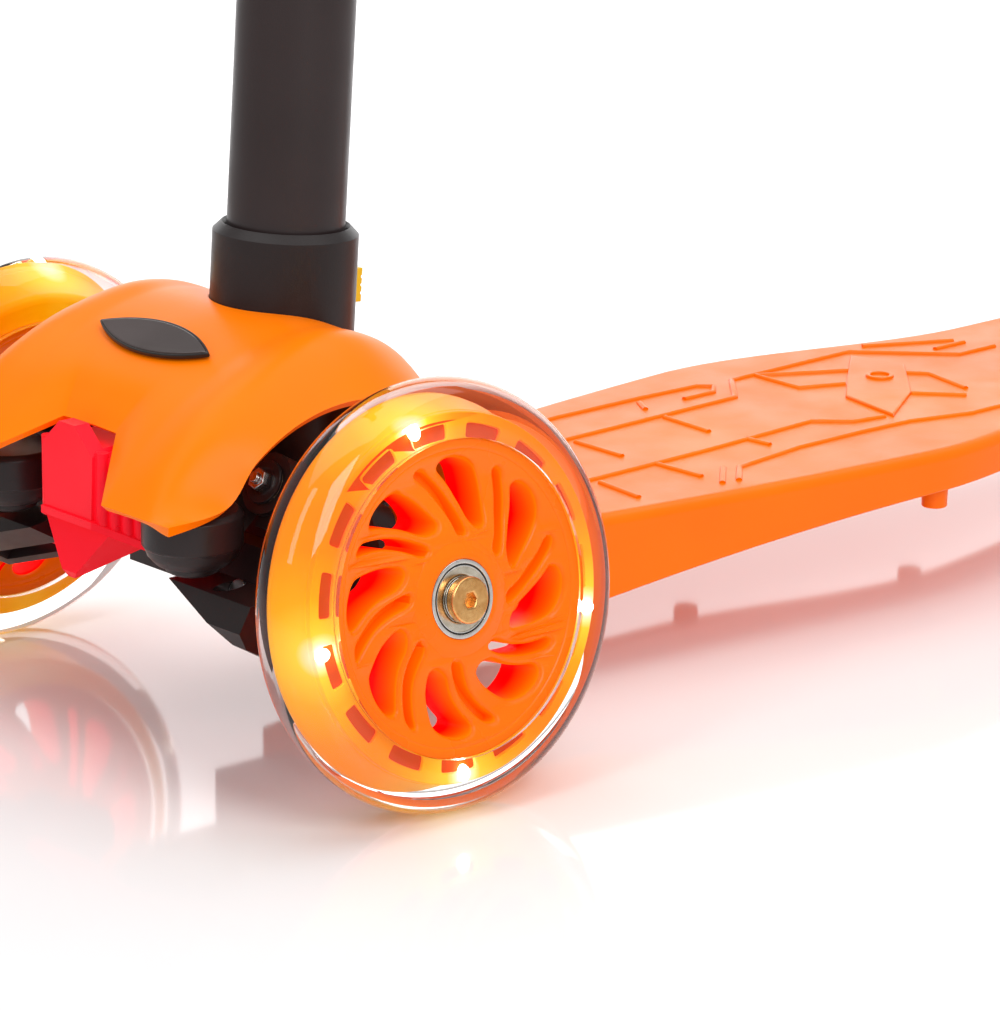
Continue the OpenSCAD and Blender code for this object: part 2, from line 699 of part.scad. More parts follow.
module bearing()
    rotate_extrude() polygon([
        [bearing_bore_r, 0], [6.1, 0], [6.1, 0.5], [9.4, 0.5], [9.4, 0], [bearing_r - 0.05, 0],
        [bearing_r - 0.05, bearing_w], [9.4, bearing_w], [9.4, bearing_w - 0.5], [6.1, bearing_w - 0.5],
        [6.1, bearing_w], [bearing_bore_r, bearing_w]]);

module bearing_pair(half_w) {
    translate([0, 0, half_w - bearing_w]) bearing();
    translate([0, 0, -half_w]) bearing();
}

// ---- rear wheels --------------------------------------------------------

module rear_place(side) at_rear() translate([0, 0, side * rear_y]) children();

module rear_core() difference() {
    rotate_extrude() polygon([
        [9, -rear_half_w + 1], [15, -rear_half_w + 1], [16, -7], [rear_rim_r - 3, -7], [rear_rim_r - 2, -rear_half_w + 2],
        [rear_rim_r, -rear_half_w + 2], [rear_rim_r, rear_half_w - 2], [rear_rim_r - 2, rear_half_w - 2],
        [rear_rim_r - 3, 7], [16, 7], [15, rear_half_w - 1], [9, rear_half_w - 1]]);
    for (z = [-rear_half_w, rear_half_w - 1 - bearing_w])
        translate([0, 0, z]) cylinder(r = bearing_r, h = bearing_w + 1);
    for (k = [0:5])
        rotate([0, 0, 60 * k]) translate([20.5, 0, -20]) cylinder(r = 3.4, h = 40);
}

module rear_tyre()
    rotate_extrude() intersection() {
        translate([rear_r - 14, 0]) circle(r = 14);
        translate([rear_rim_r + 0.1, -rear_half_w]) square([20, 2 * rear_half_w]);
    }

module rear_axle() color(steel) at_rear() {
    translate([0, 0, -cheek_out_y - 4.6]) cylinder(r = axle_r - 0.01, h = 2 * cheek_out_y + 12);
    translate([0, 0, -cheek_out_y - 4.6]) cylinder(r = 6.5, h = 4.5, $fn = 6);
}

module rear_axle_nut() color(steel) at_rear()
    difference() {
        translate([0, 0, cheek_out_y + 0.1]) cylinder(r = 7.4, h = 6, $fn = 6);
        cylinder(r = axle_r, h = 80);
    }

module rear_spacers() color(steel) at_rear() {
    for (side = [-1, 1]) {
        translate([0, 0, side * rear_y]) ring(6.5, axle_r, -3.4, 3.4);
        translate([0, 0, side * (rear_y + cheek_in_y + rear_half_w - 0.9) / 2])
            ring(6, axle_r, -(cheek_in_y - rear_y - rear_half_w + 0.6) / 2, (cheek_in_y - rear_y - rear_half_w + 0.6) / 2);
    }
    ring(6, axle_r, -3.3, 3.3);
}

// ---- rear brake ---------------------------------------------------------

module sector(radius, from, to)
    polygon(concat([[0, 0]], [for (i = [0:12]) radius * [cos(from + (to - from) * i / 12), sin(from + (to - from) * i / 12)]]));

// Local X forwards, local Y up, local Z to the rider's right
module brake_arc(out_r, in_r, from, to, half_w)
    translate([rear_x, half_w, rear_r]) rotate([90, 0, 0])
    linear_extrude(2 * half_w)
    intersection() {
        difference() {
            circle(r = out_r);
            circle(r = in_r);
        }
        sector(2 * out_r, from, to);
    }

module brake_fender() color(black) difference() {
    union() {
        brake_arc(fender_out_r, fender_in_r, 33, 163, fender_half_w);
        translate([rear_x + brake_pin_dx, 0, brake_pin_z])
            for (y = [-21, 15])
                translate([0, y, 0]) {
                    rotate([-90, 0, 0]) cylinder(r = 5, h = 6);
                    translate([-15, 0, 0]) cube([15, 6, 5]);
                }
    }
    translate([rear_x + brake_pin_dx, -40, brake_pin_z]) rotate([-90, 0, 0]) cylinder(r = 2.55, h = 80);
}

module brake_shoe() color([0.4, 0.4, 0.42]) brake_arc(fender_in_r - 0.05, fender_in_r - 1.2, 70, 118, 24);

module brake_pin() color(steel)
    translate([rear_x + brake_pin_dx, -cheek_out_y - 1, brake_pin_z]) rotate([-90, 0, 0])
    cylinder(r = 2.49, h = 2 * cheek_out_y + 2);

module brake_spring() color(steel)
    translate([rear_x + brake_pin_dx, 0, brake_pin_z]) rotate([-90, 0, 0])
    for (k = [-4:4]) translate([0, 0, 2.6 * k]) ring(4.4, 2.8, -0.9, 0.9);

// ---- handlebar column ---------------------------------------------------

module lower_tube() color([0.2, 0.16, 0.16]) stem_place()
    ring(lower_tube_d / 2, lower_tube_d / 2 - tube_wall, 0.2, lower_tube_len);

module height_clamp() color(black) stem_place() difference() {
    union() {
        ring(clamp_r, lower_tube_d / 2 + 0.05, clamp_low, clamp_low + clamp_h - 8);
        // the cap narrows to the upper tube
        ring(clamp_r - 1, upper_tube_d / 2 + 0.35, clamp_low + clamp_h - 8.01, clamp_low + clamp_h);
        translate([clamp_bolt_x - 6, -9, clamp_low + 2]) cube([16, 17.6, clamp_h - 12]);
    }
    translate([0, 0, clamp_low - 1]) cylinder(r = lower_tube_d / 2 + 0.05, h = 21.2);
    translate([0, 0, clamp_low - 1]) cylinder(r = upper_tube_d / 2 + 0.35, h = 60);
    translate([clamp_bolt_x - 10, -1, clamp_low - 1]) cube([24, 2, clamp_h + 4]);
    translate([clamp_bolt_x, -20, clamp_low + 10]) rotate([-90, 0, 0]) cylinder(r = 2.6, h = 40);
}

module clamp_bolt() color(steel) stem_place() translate([clamp_bolt_x, 0, clamp_low + 10]) {
    rotate([-90, 0, 0]) translate([0, 0, -13.4]) cylinder(r = 2.55, h = 13.4 + lever_pivot_y - 2);
    translate([0, -9.1, 0]) rotate([90, 0, 0]) cylinder(r = 5, h = 4.4, $fn = 6);
    translate([0, lever_pivot_y, -3.2]) cylinder(r = 3.9, h = 6.4);
    translate([0, lever_pivot_y, -7.9]) cylinder(r = 2, h = 15.8);
}

// Lever that folds round the clamp; its pivot is parallel to the column
module clamp_lever() color(black) stem_place()
    translate([0, 0, clamp_low + 2]) difference() {
        union() {
            translate([clamp_bolt_x, lever_pivot_y, 0]) cylinder(r = 6.2, h = 16);
            linear_extrude(16) intersection() {
                difference() {
                    circle(r = 29);
                    circle(r = 25);
                }
                sector(60, 55, 146);
            }
            linear_extrude(16)
                polygon([[clamp_bolt_x, lever_pivot_y + 6], [clamp_bolt_x + 3, lever_pivot_y - 5.2],
                    25.05 * [cos(146), sin(146)], 25.05 * [cos(138), sin(138)], 28.9 * [cos(138), sin(138)]]);
        }
        translate([clamp_bolt_x, lever_pivot_y, 1.8]) cylinder(r = 4.2, h = 12.4);
        translate([clamp_bolt_x, lever_pivot_y, -1]) cylinder(r = 2.05, h = 20);
        // slot that lets the bolt's neck reach the pivot as the lever turns
        translate([clamp_bolt_x - 8, lever_pivot_y - 8, 4.6]) cube([11.4, 8, 6.8]);
        translate([clamp_bolt_x - 8, lever_pivot_y - 8, 4.6]) cube([8, 17, 6.8]);
    }

module upper_tube() color([0.2, 0.16, 0.16]) stem_place()
    ring(upper_tube_d / 2, upper_tube_d / 2 - tube_wall, upper_low, upper_low + upper_len - 3);

module handlebar_tee() color(black) stem_place() difference() {
    union() {
        translate([0, 0, bar_s - 34]) cylinder(r = 18, h = 34);
        translate([0, 27, bar_s]) rotate([90, 0, 0]) cylinder(r = 16, h = 54);
    }
    translate([0, 0, bar_s - 35]) cylinder(r = upper_tube_d / 2 + 0.05, h = 24);
    translate([0, 40, bar_s]) rotate([90, 0, 0]) cylinder(r = bar_r + 0.05, h = 80);
}

module handlebar_tube() color(steel) stem_place()
    translate([0, 0, bar_s]) rotate([-90, 0, 0]) ring(bar_r, bar_r - 1.6, -bar_width / 2 + 4, bar_width / 2 - 4);

module grip(side) color(orange) stem_place() translate([0, 0, bar_s]) rotate([-90 * side, 0, 0])
    rotate_extrude()
    polygon([
        [bar_r + 0.1, 28], [19, 28], [19, 31], [grip_r, 34], [grip_r - 0.8, 70], [grip_r, 108],
        [18, bar_width / 2 - 6], [18, bar_width / 2 - 1.5], [16, bar_width / 2], [0, bar_width / 2],
        [0, bar_width / 2 - 3.8], [bar_r + 0.1, bar_width / 2 - 3.8]]);

// ---- nodes --------------------------------------------------------------

deck();
deck_screws();
front_frame();
stem_collar();
shroud();
shroud_screws();
badge();
truck_cover();
pivot_bolts();
pivot_nuts();
spring_housings();
centring_springs();
steering_arm(1);  // left_steering_arm
pivot_bush(1);  // left_pivot_bush
axle_bolt(1);  // left_axle_bolt
magnet_sleeve(1);  // left_magnet_sleeve
link_pin(1);  // left_link_pin
steering_arm(-1);  // right_steering_arm
pivot_bush(-1);  // right_pivot_bush
axle_bolt(-1);  // right_axle_bolt
magnet_sleeve(-1);  // right_magnet_sleeve
link_pin(-1);  // right_link_pin
tie_link();
color(orange) wheel_place(1) front_core();  // left_wheel_core
color(clear) wheel_place(1) front_tyre();  // left_tyre
color(pale_orange) wheel_place(1) light_ring();  // left_light_ring
color(yellow) wheel_place(1) led_set();  // left_leds
color(steel) wheel_place(1) bearing_pair(hub_half_w);  // left_bearings
color(orange) wheel_place(-1) front_core();  // right_wheel_core
color(clear) wheel_place(-1) front_tyre();  // right_tyre
color(pale_orange) wheel_place(-1) light_ring();  // right_light_ring
color(yellow) wheel_place(-1) led_set();  // right_leds
color(steel) wheel_place(-1) bearing_pair(hub_half_w);  // right_bearings
color(orange) rear_place(1) rear_core();  // rear_left_core
color(clear) rear_place(1) rear_tyre();  // rear_left_tyre
color(steel) rear_place(1) bearing_pair(rear_half_w - 1);  // rear_left_bearings
color(orange) rear_place(-1) rear_core();  // rear_right_core
color(clear) rear_place(-1) rear_tyre();  // rear_right_tyre
color(steel) rear_place(-1) bearing_pair(rear_half_w - 1);  // rear_right_bearings
rear_axle();
rear_axle_nut();
rear_spacers();
brake_fender();
brake_shoe();
brake_pin();
brake_spring();
lower_tube();
height_clamp();
clamp_bolt();
clamp_lever();
release_button();
upper_tube();
handlebar_tee();
handlebar_tube();
grip(1);  // left_grip
grip(-1);  // right_grip
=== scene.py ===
"""Looks of a three-wheeled lean-to-steer kick scooter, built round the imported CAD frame."""
import json
import math

import bmesh
import bpy
from mathutils import Matrix, Vector


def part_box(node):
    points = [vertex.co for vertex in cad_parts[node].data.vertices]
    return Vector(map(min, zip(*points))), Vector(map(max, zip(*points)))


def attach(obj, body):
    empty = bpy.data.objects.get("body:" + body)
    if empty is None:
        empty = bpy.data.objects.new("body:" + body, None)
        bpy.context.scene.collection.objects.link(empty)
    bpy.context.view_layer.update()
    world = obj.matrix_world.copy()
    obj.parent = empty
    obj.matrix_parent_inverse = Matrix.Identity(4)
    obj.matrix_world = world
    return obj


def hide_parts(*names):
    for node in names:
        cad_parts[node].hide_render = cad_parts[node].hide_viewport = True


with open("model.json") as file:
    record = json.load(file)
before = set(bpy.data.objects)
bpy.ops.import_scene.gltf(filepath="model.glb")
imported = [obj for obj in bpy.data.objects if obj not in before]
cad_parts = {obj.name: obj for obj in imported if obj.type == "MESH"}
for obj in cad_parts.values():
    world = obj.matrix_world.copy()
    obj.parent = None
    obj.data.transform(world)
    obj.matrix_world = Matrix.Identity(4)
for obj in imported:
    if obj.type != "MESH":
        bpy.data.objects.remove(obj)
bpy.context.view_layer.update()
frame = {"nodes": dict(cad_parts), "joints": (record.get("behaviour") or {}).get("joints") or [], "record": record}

MM = 0.001
BODY_OF = {node: body for body, nodes in frame["record"]["behaviour"]["bodies"].items() for node in nodes}
SLOT_OF = {part["node"]: part["material_slot"] for part in frame["record"]["subparts"]}
JOINT = {joint["name"]: joint for joint in frame["joints"]}
MOUNT = {mount["name"]: mount for mount in frame["record"]["mounts"]}

# ---- places, read from the frame ------------------------------------------


def centre(node):
    low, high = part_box(node)
    return (low + high) / 2


FRONT_X = centre("left_bearings").x
FRONT_AXLE = Matrix.Translation((FRONT_X, 0, 0))
REAR_AXLE_X = centre("rear_left_bearings").x
REAR_DX = (REAR_AXLE_X - FRONT_X) / MM


def frame_matrix(origin, x_axis, z_axis):
    """Placement with local X and local Z along the given directions."""
    z = Vector(z_axis).normalized()
    x = Vector(x_axis)
    x = (x - z * x.dot(z)).normalized()
    y = z.cross(x)
    rotation = Matrix((x, y, z)).transposed().to_4x4()
    return Matrix.Translation(origin) @ rotation


def wheel_place(side_name):
    """Front wheel: local Z outwards along its axle."""
    axis = Vector(JOINT[side_name + "_wheel_spin"]["axis"])
    side = 1 if side_name == "left" else -1
    return frame_matrix(centre(side_name + "_bearings"), (side, 0, 0), axis * side)


def rear_place(side_name):
    return frame_matrix(centre(f"rear_{side_name}_bearings"), (1, 0, 0), (0, 1, 0))


STEM_MOUNT_S = 230
STEM_AXIS = Vector(JOINT["column_lift"]["axis"])
STEM_FOOT = Vector(MOUNT["stem_tube"]["pos_m"]) - STEM_AXIS * STEM_MOUNT_S * MM
STEM = frame_matrix(STEM_FOOT, (1, 0, 0), STEM_AXIS)
BAR_S = (Vector(MOUNT["handlebar_core"]["pos_m"]) - STEM_FOOT).dot(STEM_AXIS) / MM

# ---- materials --------------------------------------------------------------


def srgb(r, g, b):
    """Linear colour of an 8-bit display colour."""
    def linear(v):
        v = v / 255
        return v / 12.92 if v <= 0.04045 else ((v + 0.055) / 1.055) ** 2.4
    return (linear(r), linear(g), linear(b), 1)


MATERIALS = {}


def new_material(name):
    """Starts a material, kept under its name, and gives its node tree and shader."""
    material = bpy.data.materials.new(name)
    material.use_nodes = True
    MATERIALS[name] = material
    return material.node_tree, material.node_tree.nodes["Principled BSDF"]


def noise(tree, scale, detail=2.0, roughness=0.5):
    """A noise texture in the piece's own coordinates."""
    coords = tree.nodes.new("ShaderNodeTexCoord")
    texture = tree.nodes.new("ShaderNodeTexNoise")
    texture.inputs["Scale"].default_value = scale
    texture.inputs["Detail"].default_value = detail
    texture.inputs["Roughness"].default_value = roughness
    tree.links.new(coords.outputs["Object"], texture.inputs["Vector"])
    return texture


def spread(tree, source, low, high):
    """A value that runs from low to high with a texture's value."""
    node = tree.nodes.new("ShaderNodeMapRange")
    node.inputs["From Min"].default_value = 0.3
    node.inputs["From Max"].default_value = 0.7
    node.inputs["To Min"].default_value = low
    node.inputs["To Max"].default_value = high
    tree.links.new(source, node.inputs["Value"])
    return node.outputs["Result"]


def two_tone(tree, source, dark, light):
    """A colour between two, chosen by a texture's value."""
    ramp = tree.nodes.new("ShaderNodeValToRGB")
    ramp.color_ramp.elements[0].position = 0.3
    ramp.color_ramp.elements[0].color = dark
    ramp.color_ramp.elements[1].position = 0.7
    ramp.color_ramp.elements[1].color = light
    tree.links.new(source, ramp.inputs["Fac"])
    return ramp.outputs["Color"]


def add_bump(tree, shader, height, distance, strength=0.5):
    bump = tree.nodes.new("ShaderNodeBump")
    bump.inputs["Strength"].default_value = strength
    bump.inputs["Distance"].default_value = distance
    tree.links.new(height, bump.inputs["Height"])
    tree.links.new(bump.outputs["Normal"], shader.inputs["Normal"])


def moulded(name, dark, light, rough=(0.3, 0.4), grain=1800, depth=0.00006,
            coat=0.0, glow=None, subsurface=0.0, specular=0.3):
    """Moulded plastic: slow colour drift, fine grain, uneven gloss and, where glow is given, a painted glow."""
    tree, shader = new_material(name)
    drift = noise(tree, 14, 3)
    fine = noise(tree, grain, 2)
    tree.links.new(two_tone(tree, drift.outputs["Fac"], dark, light), shader.inputs["Base Color"])
    tree.links.new(spread(tree, noise(tree, 60, 3).outputs["Fac"], *rough), shader.inputs["Roughness"])
    add_bump(tree, shader, fine.outputs["Fac"], depth)
    shader.inputs["Specular IOR Level"].default_value = specular
    shader.inputs["Coat Weight"].default_value = coat
    shader.inputs["Coat Roughness"].default_value = 0.12
    if subsurface:
        shader.inputs["Subsurface Weight"].default_value = subsurface
        shader.inputs["Subsurface Radius"].default_value = (1.0, 0.35, 0.1)
        shader.inputs["Subsurface Scale"].default_value = 0.003
    # glow is a painted glow: emission that lights plastic which is no lamp.
    if glow:
        shader.inputs["Emission Color"].default_value = glow[0]
        shader.inputs["Emission Strength"].default_value = glow[1]


def metal(name, dark, light, rough=(0.2, 0.35), grain=900, depth=0.00003):
    """Plated or ground metal with fine wear."""
    tree, shader = new_material(name)
    shader.inputs["Metallic"].default_value = 1.0
    wear = noise(tree, 320, 5, 0.6)
    tree.links.new(two_tone(tree, wear.outputs["Fac"], dark, light), shader.inputs["Base Color"])
    tree.links.new(spread(tree, noise(tree, 150, 4).outputs["Fac"], *rough), shader.inputs["Roughness"])
    add_bump(tree, shader, noise(tree, grain, 3).outputs["Fac"], depth)


def clear_urethane():
    """Clear cast tyre, faintly warm, with a little haze."""
    tree, shader = new_material("clear_urethane")
    drift = noise(tree, 20, 2)
    tint = two_tone(tree, drift.outputs["Fac"], (1.0, 0.95, 0.93, 1), (1.0, 0.985, 0.975, 1))
    tree.links.new(tint, shader.inputs["Base Color"])
    tree.links.new(spread(tree, noise(tree, 90, 2).outputs["Fac"], 0.01, 0.04), shader.inputs["Roughness"])
    add_bump(tree, shader, noise(tree, 60, 2).outputs["Fac"], 0.00006, 0.3)
    shader.inputs["Transmission Weight"].default_value = 1.0
    shader.inputs["IOR"].default_value = 1.45


ORANGE_DARK = srgb(244, 104, 0)
ORANGE_LIGHT = srgb(254, 114, 0)

# The deck and shroud oranges carry a painted glow: weak emission on plastic that is no lamp.
moulded("orange_plastic", srgb(246, 106, 0), srgb(254, 115, 0), (0.28, 0.4), 1500, 0.00008,
        glow=(srgb(255, 106, 0), 0.08), specular=0.18)
moulded("shroud_plastic", srgb(248, 118, 0), srgb(254, 126, 0), (0.3, 0.38), 1400, 0.00005,
        glow=(srgb(255, 118, 0), 0.06), specular=0.12)
moulded("black_plastic", (0.012, 0.008, 0.008, 1), (0.02, 0.013, 0.013, 1), (0.32, 0.46))
# The red plastic carries a painted glow: emission on a part that is no lamp.
moulded("red_plastic", srgb(246, 12, 34), srgb(252, 22, 44), (0.3, 0.42), glow=(srgb(250, 20, 40), 0.12),
        specular=0.14)
moulded("badge_plastic", (0.03, 0.018, 0.016, 1), (0.05, 0.03, 0.028, 1), (0.12, 0.2), coat=0.6)
# The core plastic carries a painted glow: emission on the front and rear cores, which are no lamps.
moulded("core_plastic", ORANGE_DARK, ORANGE_LIGHT, (0.24, 0.34), glow=(srgb(255, 106, 0), 0.12),
        subsurface=0.15, specular=0.2)
moulded("button_plastic", srgb(240, 190, 10), srgb(250, 205, 30))
moulded("grip_rubber", srgb(235, 104, 6), srgb(245, 116, 14), (0.5, 0.65), 900, 0.00015)
moulded("black_tube", (0.022, 0.014, 0.014, 1), (0.034, 0.022, 0.022, 1), (0.3, 0.4), 2400, 0.00004)
metal("steel_hardware", (0.5, 0.5, 0.5, 1), (0.72, 0.71, 0.7, 1))
metal("spring_steel", (0.3, 0.3, 0.3, 1), (0.5, 0.5, 0.5, 1))
metal("bearing_steel", (0.55, 0.53, 0.5, 1), (0.78, 0.76, 0.72, 1), (0.14, 0.28))
metal("bronze_bush", (0.5, 0.35, 0.2, 1), (0.62, 0.46, 0.28, 1))
metal("yellow_zinc", srgb(206, 146, 82), srgb(240, 190, 124), (0.2, 0.34), 700, 0.00005)
metal("brake_steel", (0.35, 0.35, 0.36, 1), (0.5, 0.5, 0.52, 1), (0.3, 0.5))
metal("bar_tube", (0.5, 0.5, 0.5, 1), (0.65, 0.65, 0.65, 1))
clear_urethane()

# ---- mesh making, in millimetres -------------------------------------------


def soften(points, radius, steps=3, closed=True):
    """Rounds the corners of an outline.  A point's third value is its own radius."""
    result = []
    count = len(points)
    for i, point in enumerate(points):
        corner = Vector(point[:2])
        if not closed and i in (0, count - 1):
            result.append(corner)
            continue
        own = point[2] if len(point) > 2 else radius
        before = Vector(points[i - 1][:2]) - corner
        after = Vector(points[(i + 1) % count][:2]) - corner
        cut = min(own, 0.45 * before.length, 0.45 * after.length)
        if cut < 0.02:
            result.append(corner)
            continue
        start = corner + before.normalized() * cut
        end = corner + after.normalized() * cut
        for k in range(steps + 1):
            t = k / steps
            result.append(start * (1 - t) ** 2 + corner * 2 * t * (1 - t) + end * t * t)
    return result


def lathe(profile, steps=96, radius=0.5):
    """Closed profile of (radius, height) points turned round local Z."""
    outline = soften(profile, radius)
    mesh = bmesh.new()
    rings = [[mesh.verts.new((x, y, z)) for x, y in circle(r, steps)] for r, z in outline]
    for ring, following in zip(rings, rings[1:] + rings[:1]):
        bridge(mesh, ring, following)
    return cleaned(mesh)


def dome_lathe(profile, steps=48, radius=0.3):
    """Open profile from axis to axis turned round local Z, closed at both ends."""
    outline = soften(profile, radius, closed=False)
    mesh = bmesh.new()
    first = mesh.verts.new((0, 0, outline[0][1]))
    last = mesh.verts.new((0, 0, outline[-1][1]))
    rings = []
    for r, z in outline[1:-1]:
        rings.append([mesh.verts.new((x, y, z)) for x, y in circle(r, steps)])
    for k in range(steps):
        j = (k + 1) % steps
        mesh.faces.new((first, rings[0][j], rings[0][k]))
        mesh.faces.new((last, rings[-1][k], rings[-1][j]))
    for low, high in zip(rings, rings[1:]):
        bridge(mesh, low, high)
    return cleaned(mesh)


def cleaned(mesh, merge=0.0005):
    bmesh.ops.remove_doubles(mesh, verts=mesh.verts, dist=merge)
    bmesh.ops.recalc_face_normals(mesh, faces=mesh.faces)
    return mesh


def circle(r, steps=96, centre_at=(0, 0), turn=0.0):
    """Corners of a regular outline; turn is in radians."""
    cx, cy = centre_at
    angles = [turn + 2 * math.pi * k / steps for k in range(steps)]
    return [(cx + r * math.cos(a), cy + r * math.sin(a)) for a in angles]


def plate(outlines, low, high, edge=0.5, steps=3):
    """Flat outlines, the rim first and then its holes, made solid between two heights with rounded edges."""
    curve = bpy.data.curves.new("outline", "CURVE")
    curve.dimensions = "2D"
    curve.fill_mode = "BOTH"
    curve.extrude = (high - low) / 2 - edge
    curve.bevel_depth = edge
    curve.bevel_resolution = steps
    curve.offset = -edge
    for outline in outlines:
        spline = curve.splines.new("POLY")
        spline.points.add(len(outline) - 1)
        for point, (x, y) in zip(spline.points, outline):
            point.co = (x, y, 0, 1)
        spline.use_cyclic_u = True
    holder = bpy.data.objects.new("outline", curve)
    flat = bpy.data.meshes.new_from_object(holder)
    bpy.data.objects.remove(holder)
    bpy.data.curves.remove(curve)
    mesh = bmesh.new()
    mesh.from_mesh(flat)
    bpy.data.meshes.remove(flat)
    bmesh.ops.translate(mesh, verts=mesh.verts, vec=(0, 0, (low + high) / 2))
    return cleaned(mesh, 0.002)


def bridge(mesh, low, high):
    """Faces between two rings of vertices."""
    count = len(low)
    for k in range(count):
        j = (k + 1) % count
        mesh.faces.new((low[k], low[j], high[j], high[k]))


def tube(points, r, sides=10, flat=1.0):
    """A round bar along points; flat squeezes it in height."""
    mesh = bmesh.new()
    rings = []
    last = len(points) - 1
    line = [Vector(p) for p in points]
    for i, point in enumerate(line):
        along_line = (line[min(i + 1, last)] - line[max(i - 1, 0)]).normalized()
        across = along_line.cross(Vector((0, 0, 1))).normalized()
        up = across.cross(along_line)
        rings.append([mesh.verts.new(point + across * r * math.cos(a) + up * r * flat * math.sin(a))
                      for a in (2 * math.pi * k / sides for k in range(sides))])
    for low, high in zip(rings, rings[1:]):
        bridge(mesh, low, high)
    mesh.faces.new(rings[0])
    mesh.faces.new(rings[-1])
    return cleaned(mesh)


def moved(mesh, matrix):
    bmesh.ops.transform(mesh, matrix=matrix, verts=mesh.verts)
    return mesh


def shifted(mesh, x, y, z):
    return moved(mesh, Matrix.Translation((x, y, z)))


def loose_object(mesh, name, place):
    """A mesh in mm as an object in metres."""
    bmesh.ops.scale(mesh, vec=(MM, MM, MM), verts=mesh.verts)
    data = bpy.data.meshes.new(name)
    mesh.to_mesh(data)
    mesh.free()
    obj = bpy.data.objects.new(name, data)
    bpy.context.scene.collection.objects.link(obj)
    obj.matrix_world = place
    bpy.context.view_layer.update()
    return obj


def piece(name, parts, place, node, materials, smooth=35):
    """One object from (mesh, material number) parts in mm, riding with a CAD node's body.

    A part whose number is None keeps the numbers that its faces already carry.
    """
    whole = bmesh.new()
    for mesh, number in parts:
        if number is not None:
            for face in mesh.faces:
                face.material_index = number
        part = bpy.data.meshes.new("part")
        mesh.to_mesh(part)
        mesh.free()
        whole.from_mesh(part)
        bpy.data.meshes.remove(part)
    obj = loose_object(whole, name, place)
    for material in materials:
        obj.data.materials.append(MATERIALS[material])
    finish_surface(obj, smooth)
    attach(obj, BODY_OF[node])
    return obj


def stand_in(name, parts, place, node, materials, smooth=35):
    """A piece that is shown instead of its CAD node."""
    obj = piece(name, parts, place, node, materials, smooth)
    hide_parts(node)
    return obj


def add_bevel(obj, width, angle=30, segments=3):
    modifier = obj.modifiers.new("edges", "BEVEL")
    modifier.width = width * MM
    modifier.segments = segments
    modifier.limit_method = "ANGLE"
    modifier.angle_limit = math.radians(angle)
    modifier.miter_outer = "MITER_ARC"


def apply_modifiers(obj):
    depsgraph = bpy.context.evaluated_depsgraph_get()
    data = bpy.data.meshes.new_from_object(obj.evaluated_get(depsgraph))
    obj.modifiers.clear()
    obj.data = data


def finish_surface(obj, smooth):
    """Applies what was added, then shades it smooth up to an angle."""
    if obj.modifiers:
        apply_modifiers(obj)
    obj.data.shade_smooth()
    obj.data.set_sharp_from_angle(angle=math.radians(smooth))
    modifier = obj.modifiers.new("normals", "WEIGHTED_NORMAL")
    modifier.keep_sharp = True


def softened(node, width):
    """A CAD node's own shape with its edges rounded."""
    source = frame["nodes"][node]
    mesh = bmesh.new()
    mesh.from_mesh(source.data)
    bmesh.ops.remove_doubles(mesh, verts=mesh.verts, dist=0.000002)
    bmesh.ops.dissolve_limit(mesh, angle_limit=math.radians(0.6), verts=mesh.verts, edges=mesh.edges)
    data = bpy.data.meshes.new("look_" + node)
    mesh.to_mesh(data)
    mesh.free()
    data.materials.clear()
    data.materials.append(MATERIALS[SLOT_OF[node]])
    obj = bpy.data.objects.new("look_" + node, data)
    bpy.context.scene.collection.objects.link(obj)
    add_bevel(obj, width, segments=2)
    finish_surface(obj, 35)
    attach(obj, BODY_OF[node])
    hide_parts(node)


# ---- front wheels -------------------------------------------------------------

HUB_HALF = 11
PLATE_HALF = 7.5
SWIRL = 26 / 21
WINDOWS = 8
WINDOW = {"turn": 13, "inner": 20.4, "outer": 38.6}
GROOVE = {"turn": 33, "inner": 17.2, "outer": 37.8}
GROOVE_FLOOR = 3.4
BAND_FRONT = 6.5
NOTCH_FLOOR = 5.0
LED_ANGLES = (7, 86, 166, 282)
LED_RING_R = 48.3
BAND_R = 50.5
TYRE_MID_R = 48
TYRE_TUBE_R = 12
TYRE_IN_R = 43.95
TYRE_LIP = 11.31
# Degrees from the outermost point of the tyre to each lip
TYRE_WRAP = 109.5
BEARING_LOOKS = ["bearing_steel", "seal", "shield"]


def nose(gap, length):
    e = min(1.0, max(0.0, gap) / length)
    return math.sqrt(1 - (1 - e) ** 2)


def swept_outline(shape, half_width, nose_in, nose_out, steps=26):
    """Outline of a window or groove that swirls as it runs outwards."""
    radii = [shape["inner"] + (shape["outer"] - shape["inner"]) * (1 - math.cos(math.pi * k / steps)) / 2
             for k in range(steps + 1)]
    sides = ([], [])
    for r in radii:
        width = half_width(r) * min(nose(r - shape["inner"], nose_in), nose(shape["outer"] - r, nose_out))
        middle = shape["turn"] + SWIRL * (r - 16)
        for sign, side in zip((-1, 1), sides):
            a = math.radians(middle + sign * math.degrees(width / r))
            side.append((r * math.cos(a), r * math.sin(a)))
    return sides[0] + sides[1][-2:0:-1]


def rotated(outline, degrees):
    c, s = math.cos(math.radians(degrees)), math.sin(math.radians(degrees))
    return [(x * c - y * s, x * s + y * c) for x, y in outline]


def ease(low, high, value):
    t = max(0.0, min(1.0, (value - low) / (high - low)))
    return t * t * (3 - 2 * t)


def dish(mesh):
    """Swells the web towards the hub and the rim, so that each face is a shallow dish."""
    for vert in mesh.verts:
        r = vert.co.xy.length
        vert.co.z *= 1 + 0.34 * (1 - ease(17, 29, r)) + 0.26 * ease(35, 41, r)


def core_walls_painted_light(mesh):
    """Marks the walls of the windows and grooves, which get painted shade and a painted glow."""
    for face in mesh.faces:
        middle = face.calc_center_median()
        steep = abs(face.normal.z) < 0.55
        face.material_index = 1 if steep and 17.5 < middle.xy.length < 39.9 else 0


